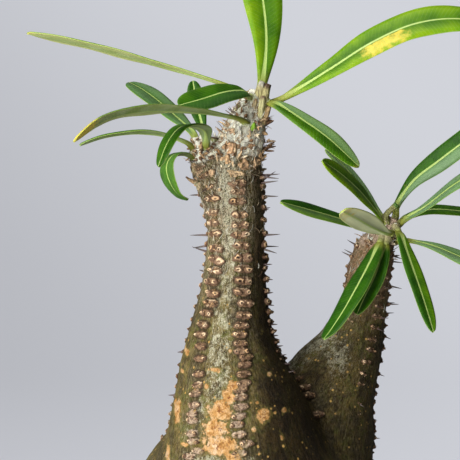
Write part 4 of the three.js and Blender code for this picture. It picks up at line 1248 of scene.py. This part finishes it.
def add_stumps(heap):
    """Fluted stumps of old stalks, with darker or paler ends."""
    rings, sides = 14, 18
    for stations, tone, tip in STUMPS:
        points, faces = tube(stations, sides, rings, fluting=0.1)
        end = smooth(np.linspace(0, 1, rings).repeat(sides)[:, None], 0.82, 0.93)
        points = points + 0.12 * cloudy(points, 0.7, 3)[:, None] * unit(points - np.mean(points, 0))
        heap.add(points, faces, tone=np.array(tone) * (1 - end) + np.array(tip) * end)


def add_scars(heap, tree, random):
    """Worn scars and lumps with ragged rims."""
    radius, height, shade = np.array(SCAR_RINGS).T[..., None]
    sides = 24
    angle = round_turn(sides)
    for number, z, turn, wide, tall, stand, tone in SCARS:
        limb = LIMBS[number]
        seat, out, up = limb_seat(tree, limb, limb.at_height(z), math.radians(turn))
        right = unit(np.cross(up, out))
        up = np.cross(out, right)
        ragged = 1 + 0.16 * np.sin(3 * angle + seat[0]) + 0.1 * np.sin(5 * angle + seat[2])
        ragged = ragged + random.uniform(-0.12, 0.12, sides)
        across = (radius * np.cos(angle) * ragged * wide / 2)[..., None] * right
        along = (radius * np.sin(angle) * ragged * tall / 2)[..., None] * up
        points = (seat + across + along + (height * stand)[..., None] * out).reshape(-1, 3)
        points += (0.55 * cloudy(points, 1.1, 5) + 0.25 * cloudy(points, 0.5, 6) - 0.25)[:, None] * out
        # Painted shade and highlight ring by ring, with a random mottle
        shades = (shade.repeat(sides) * (1 + 0.4 * cloudy(points, 0.9, 7)))[:, None]
        heap.add(points, ring_faces(len(SCAR_RINGS), sides), tone=np.clip(np.array(tone) * shades, 0, 1))


def add_bracts(heap, tree, random):
    """Dried bracts all round the crowns, and the tufts between them."""
    shades = np.repeat(np.linspace(0.7, 1.25, SCALE_RINGS), 4)[:, None]
    for number, low, top, many, scale in BRACTS:
        limb = LIMBS[number]
        for _ in range(many):
            along, turn = limb.at_height(random.uniform(low, top)), random.uniform(0, 2 * math.pi)
            seat, out, up = limb_seat(tree, limb, along, turn)
            way = up * random.uniform(0.3, 1.4) + out * random.uniform(0.3, 1.0)
            way = unit(way + random.normal(size=3) * 0.35)
            flat = unit(out - way * (out @ way))
            long, wide = scale * random.triangular(1.0, 2.0, 4.0), scale * random.uniform(0.5, 1.5)
            points, faces = scale_leaf(seat, way, flat, long, wide, random.uniform(-0.35, 0.3))
            tone = np.array(BRACT_TONES[random.integers(len(BRACT_TONES))])
            heap.add(points, faces, tone=np.clip(tone * shades, 0, 1))
    for seat, way, many, long, wide, tone, spread in TUFTS:
        for _ in range(many):
            turn = unit(np.array(way) + random.normal(size=3) * spread)
            flat = unit(np.cross(turn, random.normal(size=3)))
            foot = np.array(seat) + random.normal(size=3) * 0.5
            size = long * random.uniform(0.6, 1.15)
            points, faces = scale_leaf(foot, turn, flat, size, wide, random.uniform(-0.2, 0.2))
            heap.add(points, faces, tone=np.array(tone) * random.uniform(0.7, 1.3))


def add_bud(heap):
    """The one green bud at the front of the main crown."""
    foot, way, length = np.array((-1.0, -10.5, 247.8)), np.array((0.25, -0.35, 0.9)), 2.8
    girths = (0, 0.7), (0.25, 1.1), (0.55, 0.95), (0.8, 0.5), (1, 0.1)
    points, faces = tube([(*(foot + way * share * length), radius) for share, radius in girths], 14, 9)
    heap.add(points, faces, tone=(0.24, 0.46, 0.03))


def dress_crowns():
    """The crowns: woolly feet of the stalks, stumps, worn scars, dried bracts and a bud."""
    tree, random, heap = bark_surface(), np.random.default_rng(33), Heap()
    add_stalk_feet(heap)
    add_stumps(heap)
    add_scars(heap, tree, random)
    add_bracts(heap, tree, random)
    add_bud(heap)
    heap.piece("crown_growth", crown_finish(), "bark")


# Threads on the skin: limb, lowest and highest, how many, usual length; and their tones
THREADS = ((1, 198, 258, 1100, 2.4), (3, 230, 246, 150, 2.0), (2, 190, 219, 200, 2.2))
THREAD_TONES = ((0.64, 0.52, 0.34), (0.42, 0.30, 0.18), (0.74, 0.72, 0.6), (0.16, 0.09, 0.045))
FELT_FOOT = 234, 236  # where the main crown's felt starts, and where its threads rise from it


def lay_threads():
    """Fine pale threads of old bark and wool that lie on the skin, thickest towards the crowns."""
    tree, random, heap = bark_surface(), np.random.default_rng(61), Heap()
    for number, low, top, many, reach in THREADS:
        limb = LIMBS[number]
        for _ in range(many):
            height = low + (top - low) * random.random() ** 0.6
            along, turn = limb.at_height(height), random.uniform(-math.pi, math.pi)
            tilt, long = random.normal() * 0.55, reach * random.uniform(0.5, 1.4)
            if number == 1 and height > FELT_FOOT[0]:
                tilt *= 2.2
            if number == 1 and height < FELT_FOOT[0] and -1.1 < turn < 1 and random.random() < 0.8:
                continue
            girth = float(limb.at(along, limb.radii))
            stations = []
            for k in (0, 0.33, 0.67, 1):
                arch = math.sin(math.pi * k)
                round_way = (long * k * math.sin(tilt) + 0.12 * long * arch) / girth
                seat, out = limb.skin(along + long * k * math.cos(tilt), turn + round_way)
                seat = on_bark(tree, seat, out)
                lift = 0.05 + 0.12 * arch + (0.5 * k * k if height > FELT_FOOT[1] else 0)
                stations.append((*(seat + out * lift), 0.1 * (1.1 - 0.6 * k)))
            points, faces = tube(stations, 3, 5, side=(0.2, 1, 0.1))
            pale = 1.35 if number == 1 and height > FELT_FOOT[1] else 1.0
            tone = np.array(THREAD_TONES[random.integers(len(THREAD_TONES))]) * random.uniform(0.75, 1.2)
            heap.add(points, faces, tone=np.clip(tone * pale, 0, 1))
    heap.piece("bark_threads", crown_finish(), "bark")


def leaf_shape(width, stalk, waist, tip, share):
    """Half a leaf's width along its path: the stalk, a blade that widens slowly or soon, a blunt tip."""
    blade = np.clip((share - stalk) / (1 - stalk), 0, 1)
    widening = np.sin(math.pi / 2 * np.minimum(1, blade * 0.97 / 0.56)) ** waist
    past = np.clip((blade - 0.577) / 0.423, 0, 1)
    foot = 0.95 + 0.35 * np.exp(-share / 0.045)
    return (foot + (width / 2 - foot) * widening) * np.sqrt(np.maximum(1 - past**tip, 0.0004))


# How a leaf's colour departs from plain green: the painted light on its two halves at their edges, from -1
# (painted shade) to 1, where it turns yellow (from and to as shares of the length, the half: -1, 1 or 0 for
# both, and how much), and how much grey painted sheen lies on its two halves.
PLAIN_LEAF = (0.1, 0.1, None, 0, 0)
LEAF_TONES = {
    "leaf_main_upright": (0.82, 0.24, None, 0, 0),
    "leaf_main_long_right": (0.66, 0.8, (0.42, 0.6, 1, 0.85), 0, 0),
    "leaf_main_low_right": (0.5, 0.15, (0.96, 1.1, 0, 0.6), 0.45, 0),
    "leaf_main_near_left": (0.3, 0.6, (0.9, 1.1, 0, 1.2), 0, 0),
    "leaf_main_far_left": (0.9, 0.9, (0.93, 1.1, 0, 0.4), 0, 0),
    "leaf_back_front": (0.9, 0.9, (0.84, 1.1, 0, 0.5), 0.55, 0.55),
    "leaf_main_front_left": (-0.65, 0.1, None, 0.06, 0), "leaf_side_upright": (-0.3, -0.3, None, 0, 0),
    "leaf_side_left": (0.1, 0.5, None, 0, 0), "leaf_side_far_left": (0.0, 0.1, None, 0.3, 0.35),
    "leaf_back_left": (0.4, -0.1, None, 0.2, 0), "leaf_back_big_droop": (-0.35, -0.25, None, 0, 0),
    "leaf_back_far_droop": (0.0, 0.05, None, 0, 0), "leaf_back_up_left": (0.75, 0.6, None, 0, 0),
    "leaf_back_right_droop": (0.4, -0.1, None, 0, 0), "leaf_back_up_left_far": (0.5, 0.5, None, 0.6, 0.6),
    "leaf_back_upright": (-0.4, 0.0, None, 0, 0.6), "leaf_back_right_rise": (-0.3, -0.1, None, 0.45, 0.5),
    "leaf_back_right_low": (0.1, 0.1, None, 0.4, 0.5), "leaf_side_recurved": (-0.1, 0.1, None, 0, 0),
    "leaf_side_droop": (0.1, 0.1, None, 0.1, 0.1),
}


def leaf_masks(name, share, edge):
    """Where a leaf has painted light and shade, turns yellow, and has painted sheen, by length and by half."""
    left, right, yellow, *sheens = LEAF_TONES.get(name, PLAIN_LEAF)
    off_rib = np.abs(edge)
    aged = np.zeros(edge.shape)
    if yellow:
        start, stop, hand, strength = yellow
        band = smooth(share, start - 0.06, start + 0.04) * (1 - smooth(share, stop - 0.04, stop + 0.06))
        half = smooth(edge * hand, -0.05, 0.15) * (1 - 0.45 * smooth(edge * hand, 0.5, 1)) if hand else 1.0
        aged = aged + band[:, None] * half * strength
    age = (left + (right - left) * smooth(edge, -0.05, 0.05)) * (0.3 + 0.7 * smooth(off_rib, 0.1, 0.9))
    bloom = sheens[0] + (sheens[1] - sheens[0]) * smooth(edge, -0.1, 0.1)
    bloom = bloom * smooth(off_rib, 0.05, 0.25) * (1 - 0.6 * smooth(off_rib, 0.75, 1))
    return {"age": age, "yellow": aged, "bloom": bloom}


def grow_leaf(name, leaf, finish, size):
    """One leaf along its path: stalk, blade with a raised midrib, turned-down edges and a soft wave."""
    rows, half_sides, stalk_thick, sunk = 64, 9, 1.55, 0.5
    stalk = leaf.get("stalk", 0)
    line, length = smooth_line(leaf["path"], rows)
    share = np.linspace(0, 1, rows + 1)
    ahead, side, across = frames_along(line, leaf["face"])
    first, last = leaf.get("roll", (0, 0))
    turn = np.radians(first + (last - first) * share)[:, None]
    side, across = side * np.cos(turn) + across * np.sin(turn), across * np.cos(turn) - side * np.sin(turn)
    line[0] -= ahead[0] * sunk
    half = leaf_shape(leaf["width"], stalk, leaf.get("waist", 1.6), leaf.get("tip", 2.6), share)[:, None]
    flat = smooth(share, 0, 0.2)[:, None]
    reach = (share * length)[:, None]
    seed = sum(map(ord, name)) % 97
    v = np.sin(np.linspace(-math.pi / 2, math.pi / 2, 2 * half_sides + 1))
    u = half * v
    fold = 0.12 * half * np.abs(v) - 0.10 * half * smooth(np.abs(v), 0.7, 1.0)
    wave = 0.16 * np.sin(reach / 3.3 + seed) * v**2 * np.sign(v + 0.01) * half / 4
    blister = 0.012 * np.cos(2 * math.pi * (reach - 0.55 * np.abs(u)) / 1.7) * smooth(np.abs(u), 0.3, 1) * flat
    middle = (fold + wave) * flat
    thick = stalk_thick + (size.blade / MM - stalk_thick) * flat
    thick = thick * np.sqrt(np.maximum(1 - np.abs(v) ** (2 + 6 * flat), 0.03))
    rib = (0.5 - 0.35 * share)[:, None] * np.exp(-(u / 0.5) ** 2) * flat
    groove = 0.14 * np.exp(-(u / 0.35) ** 2) * flat
    top = middle + thick / 2 + blister - groove
    low = middle - thick / 2 - rib + blister
    up = np.concatenate([top, low[:, ::-1]], 1)
    out = np.concatenate([u, u[:, ::-1]], 1)
    points = line[:, None] + across[:, None] * out[..., None] + side[:, None] * up[..., None]
    edge = np.broadcast_to(np.concatenate([v, v[::-1]]), out.shape)
    held = {
        "top": np.concatenate([np.ones(len(v)), np.zeros(len(v))]),
        "rib": (np.interp(share, (0, 0.2, 1), (0.85, 0.36, 0.13)) * MM)[:, None],
        "stalk": (1 - smooth(share, stalk * 0.5, stalk + 0.12))[:, None],
    } | leaf_masks(name, share, edge)
    held = {key: np.broadcast_to(value, out.shape).ravel() for key, value in held.items()}
    where = np.stack([out * MM, np.broadcast_to(reach, out.shape) * MM, edge], -1)
    held["leaf_place"] = where.reshape(-1, 3)
    faces = [face[::-1] for face in ring_faces(rows + 1, out.shape[1])]
    make_piece(name.replace("leaf_", "blade_"), points.reshape(-1, 3), faces, finish, held, (name,))


# Stage


def lamp(name, place, wide, power, tint):
    """A round soft lamp that is turned to the plant and can't be seen itself."""
    light = bpy.data.lights.new(name, "AREA")
    light.shape, light.size, light.energy, light.color = "DISK", wide, power, tint
    held = bpy.data.objects.new(name, light)
    held.location = place
    middle = Vector((0, 0, 0.2))
    held.rotation_euler = (middle - Vector(place)).to_track_quat("-Z", "Y").to_euler()
    held.visible_camera = False
    bpy.context.scene.collection.objects.link(held)


def set_stage(look):
    """The pale floor that rises into a backdrop all round, soft light from the left, and the camera."""
    level, bend, highest, sides = 1500, 1900, 4200, 96
    arc = np.linspace(0, math.pi / 2, 24)[1:]
    profile = [(HUB, 0), (600, 0), (level, 0)]
    profile += [(level + bend * math.sin(a), bend * (1 - math.cos(a))) for a in arc]
    profile.append((level + bend, highest))
    mesh = bpy.data.meshes.new("backdrop")
    without_lid = ring_faces(len(profile), sides)[:-1]
    mesh.from_pydata((lathe_points(profile, sides) * MM).tolist(), [], without_lid)
    paint(mesh, backdrop_finish(look))
    floor = bpy.data.objects.new("backdrop", mesh)
    bpy.context.scene.collection.objects.link(floor)
    floor.visible_shadow = floor.visible_diffuse = floor.visible_glossy = False

    lamp("window_left", (-1.03, -1.06, 0.6), 1.8, look.key_light, (1, 0.985, 0.96))
    lamp("floor_bounce", (-0.45, -0.8, -0.3), 1.0, look.bounce_light, (1, 0.99, 0.97))
    lamp("sky_above", (-0.45, -0.5, 1.45), 0.9, look.top_light, (0.97, 0.98, 1))
    world = bpy.data.worlds.new("soft_room")
    world.use_nodes = True
    room = world.node_tree.nodes["Background"].inputs
    room["Color"].default_value, room["Strength"].default_value = (0.9, 0.89, 0.88, 1), look.room_light
    bpy.context.scene.world = world

    lens = bpy.data.cameras.new("camera")
    lens.sensor_width, lens.lens = 36, 167.87
    lens.clip_start, lens.clip_end = 0.01, 20
    camera = bpy.data.objects.new("camera", lens)
    x, y, z = -7.6, -6, 217.7  # the place that the camera looks at
    away, tilt = 650, math.radians(2.5)
    camera.location = Vector((x, y - away * math.cos(tilt), z + away * math.sin(tilt))) * MM
    camera.rotation_euler = (math.pi / 2 - tilt, 0, 0)
    bpy.context.scene.collection.objects.link(camera)
    bpy.context.scene.camera = camera
    bpy.context.scene.view_settings.view_transform = "Standard"


# Sizes and colours that a user may change


def length(name, text, default):
    return FloatProperty(name=name, description=text, default=default, min=0, unit="LENGTH", subtype="DISTANCE")


def tone(name, text, default):
    return FloatVectorProperty(name=name, description=text, default=default, size=3, min=0, max=1,
                               subtype="COLOR")


def power(name, text, default, unit="POWER"):
    return FloatProperty(name=name, description=text, default=default, min=0, unit=unit)


POT_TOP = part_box("pot")[1]


class PotSettings(bpy.types.PropertyGroup):
    height: length("Height", "Height of the pot", POT_TOP.z)
    rim_radius: length("Rim radius", "Outer radius of the rim", POT_TOP.x)
    rim_height: length("Rim height", "How far the rim reaches down the wall", 0.019)
    foot_radius: length("Foot radius", "Radius of the flat underside", 0.043)
    grain: length("Largest grain", "Radius of the largest grain of grit", 0.0019)


class BarkSettings(bpy.types.PropertyGroup):
    skin_grain: length("Skin grain", "Spacing of the points of the grown skin", 0.001)
    pad_height: length("Pad height", "How far the pads stand out of the bark", 0.001)
    knob_width: length("Tubercle width", "Width of one tubercle", 0.0018)
    knob_height: length("Tubercle height", "Height of one tubercle", 0.0008)
    pair_spacing: length("Pair spacing", "Distance between the two tubercles of a pair", 0.0031)
    spine_length: length("Spine length", "Length of the longest spines", 0.0045)


class LeafSettings(bpy.types.PropertyGroup):
    blade: length("Blade thickness", "Thickness of a leaf's blade", 0.00055)


class Tones(bpy.types.PropertyGroup):
    clay: tone("Clay", "Fired clay", (0.50, 0.19, 0.095))
    clay_pale: tone("Pale clay", "Dry, paler clay", (0.60, 0.27, 0.15))
    lava: tone("Lava", "Dark porous grains", (0.05, 0.035, 0.03))
    baked: tone("Baked loam", "Baked brown grains", (0.26, 0.14, 0.07))
    loam: tone("Pale loam", "Tan grains", (0.42, 0.30, 0.18))
    pumice: tone("Pumice", "Light grains", (0.62, 0.58, 0.50))
    bark: tone("Bark", "Open bark", (0.165, 0.122, 0.03))
    bark_dark: tone("Dark bark", "Bark in its darker patches", (0.075, 0.052, 0.01))
    moss: tone("Green bark", "Green skin between the fibres", (0.095, 0.105, 0.014))
    fibre: tone("Fibres", "Fine fibres along the bark", (0.36, 0.29, 0.17))
    fibre_pale: tone("Pale fibres", "Crossing pale threads", (0.52, 0.44, 0.30))
    lichen: tone("Lichen", "Silvery mottling", (0.52, 0.50, 0.37))
    pad: tone("Pads", "Bark round the tubercles", (0.27, 0.165, 0.10))
    pad_dark: tone("Dark pads", "Wrinkles of the pads", (0.09, 0.045, 0.026))
    peel: tone("Flaked bark", "Places where the outer bark has come off", (0.48, 0.245, 0.07))
    peel_pale: tone("Pale flaked bark", "Dry edges of those places", (0.60, 0.36, 0.155))
    wool: tone("Wool", "Pale crumpled felt of the crowns", (0.98, 0.97, 0.82))
    knob: tone("Tubercles", "Worn rims of the tubercles", (0.60, 0.37, 0.18))
    knob_pale: tone("Pale tubercles", "Palest rims of the tubercles", (0.92, 0.72, 0.47))
    knob_dark: tone("Dark tubercles", "Flanks of the tubercles", (0.11, 0.055, 0.03))
    spine: tone("Spines", "Living spines", (0.10, 0.05, 0.045))
    leaf: tone("Leaf", "Upper side of a leaf", (0.029, 0.112, 0.002))
    leaf_dark: tone("Dark leaf", "Deeper green of a leaf", (0.013, 0.064, 0.002))
    # The bright and lime greens and the lit underside are painted light on the halves of a leaf that catch the
    # light
    leaf_bright: tone("Bright leaf", "Young or sunlit green", (0.115, 0.26, 0.002))
    leaf_lime: tone("Lime leaf", "Palest sunlit green", (0.21, 0.34, 0.002))
    underside: tone("Underside", "Lower side of a leaf", (0.22, 0.29, 0.15))
    underside_lit: tone("Pale underside", "Lower side of an old leaf", (0.48, 0.52, 0.20))
    vein: tone("Midrib", "Midrib and veins of a leaf", (0.44, 0.55, 0.20))
    vein_green: tone("Green midrib", "Greener places of the midrib, and the edge", (0.26, 0.38, 0.07))


class StageSettings(bpy.types.PropertyGroup):
    floor: tone("Floor", "Paper of the floor and backdrop", (0.25, 0.25, 0.265))
    glow: tone("Backdrop light", "Light on the left of the backdrop", (0.345, 0.355, 0.385))
    glow_right: tone("Right backdrop light", "Light on the right of the backdrop", (0.55, 0.565, 0.61))
    key_light: power("Window light", "Power of the soft light from the left", 37.5)
    top_light: power("Light above", "Power of the soft light from above", 14)
    bounce_light: power("Bounced light", "Power of the light back from the floor", 10.5)
    room_light: power("Room light", "Strength of the light from all round", 0.13, "NONE")


# Operators and panel


class Maker(bpy.types.Operator):
    """What every operator here has"""
    bl_options = {"REGISTER", "UNDO"}


class ThrowPot(Maker):
    """Make the clay pot"""
    bl_idname = "pachypodium.throw_pot"
    bl_label = "Throw the pot"

    def execute(self, context):
        throw_pot(context.scene.pachypodium_pot, context.scene.pachypodium_tones)
        return {"FINISHED"}


class FillSoil(Maker):
    """Fill the pot with soil and grit"""
    bl_idname = "pachypodium.fill_soil"
    bl_label = "Fill the soil"

    def execute(self, context):
        fill_soil(context.scene.pachypodium_pot, context.scene.pachypodium_tones)
        return {"FINISHED"}


class GrowBark(Maker):
    """Grow the skin of the body, arms and side shoot"""
    bl_idname = "pachypodium.grow_bark"
    bl_label = "Grow the bark"

    def execute(self, context):
        grow_bark(context.scene.pachypodium_bark, context.scene.pachypodium_tones)
        return {"FINISHED"}


class GrowKnobs(Maker):
    """Set a pair of tubercles on every pad of the bark"""
    bl_idname = "pachypodium.grow_knobs"
    bl_label = "Grow the tubercles"

    def execute(self, context):
        grow_knobs(context.scene.pachypodium_bark, context.scene.pachypodium_tones)
        return {"FINISHED"}


class GrowSpines(Maker):
    """Set the spines in the tubercles"""
    bl_idname = "pachypodium.grow_spines"
    bl_label = "Grow the spines"

    def execute(self, context):
        grow_spines(context.scene.pachypodium_bark, context.scene.pachypodium_tones)
        return {"FINISHED"}


class DressCrowns(Maker):
    """Add stalk feet, stumps, scars, bracts and a bud to the crowns"""
    bl_idname = "pachypodium.dress_crowns"
    bl_label = "Dress the crowns"

    def execute(self, context):
        dress_crowns()
        return {"FINISHED"}


class LayThreads(Maker):
    """Lay fine threads of old bark and wool on the skin"""
    bl_idname = "pachypodium.lay_threads"
    bl_label = "Lay the threads"

    def execute(self, context):
        lay_threads()
        return {"FINISHED"}


class GrowLeaves(Maker):
    """Grow every leaf of the three crowns"""
    bl_idname = "pachypodium.grow_leaves"
    bl_label = "Grow the leaves"

    def execute(self, context):
        finish = leaf_finish(context.scene.pachypodium_tones)
        for name, leaf in LEAVES.items():
            grow_leaf(name, leaf, finish, context.scene.pachypodium_leaf)
        return {"FINISHED"}


class SetStage(Maker):
    """Set the floor, the lights and the camera"""
    bl_idname = "pachypodium.set_stage"
    bl_label = "Set the stage"

    def execute(self, context):
        set_stage(context.scene.pachypodium_stage)
        return {"FINISHED"}


MAKERS = (SetStage, ThrowPot, FillSoil, GrowBark, GrowKnobs, GrowSpines, DressCrowns, LayThreads, GrowLeaves)
SETTINGS = {"pachypodium_pot": PotSettings, "pachypodium_bark": BarkSettings, "pachypodium_leaf": LeafSettings,
            "pachypodium_tones": Tones, "pachypodium_stage": StageSettings}


class PachypodiumPanel(bpy.types.Panel):
    """Everything that makes the potted plant, in order"""
    bl_idname = "VIEW3D_PT_pachypodium"
    bl_label = "Potted pachypodium"
    bl_space_type = "VIEW_3D"
    bl_region_type = "UI"
    bl_category = "Pachypodium"

    def draw(self, context):
        for maker in MAKERS:
            self.layout.operator(maker.bl_idname)
        for name, group in SETTINGS.items():
            box = self.layout.box()
            for key in group.__annotations__:
                box.prop(getattr(context.scene, name), key)


CLASSES = (*SETTINGS.values(), *MAKERS, PachypodiumPanel)


def register():
    for made in CLASSES:
        bpy.utils.register_class(made)
    for name, group in SETTINGS.items():
        setattr(bpy.types.Scene, name, PointerProperty(type=group))


def unregister():
    for name in SETTINGS:
        delattr(bpy.types.Scene, name)
    for made in reversed(CLASSES):
        bpy.utils.unregister_class(made)


def main():
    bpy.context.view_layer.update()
    register()
    for maker in MAKERS:
        family, action = maker.bl_idname.split(".")
        getattr(getattr(bpy.ops, family), action)()
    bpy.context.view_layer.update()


if __name__ == "__main__":
    main()
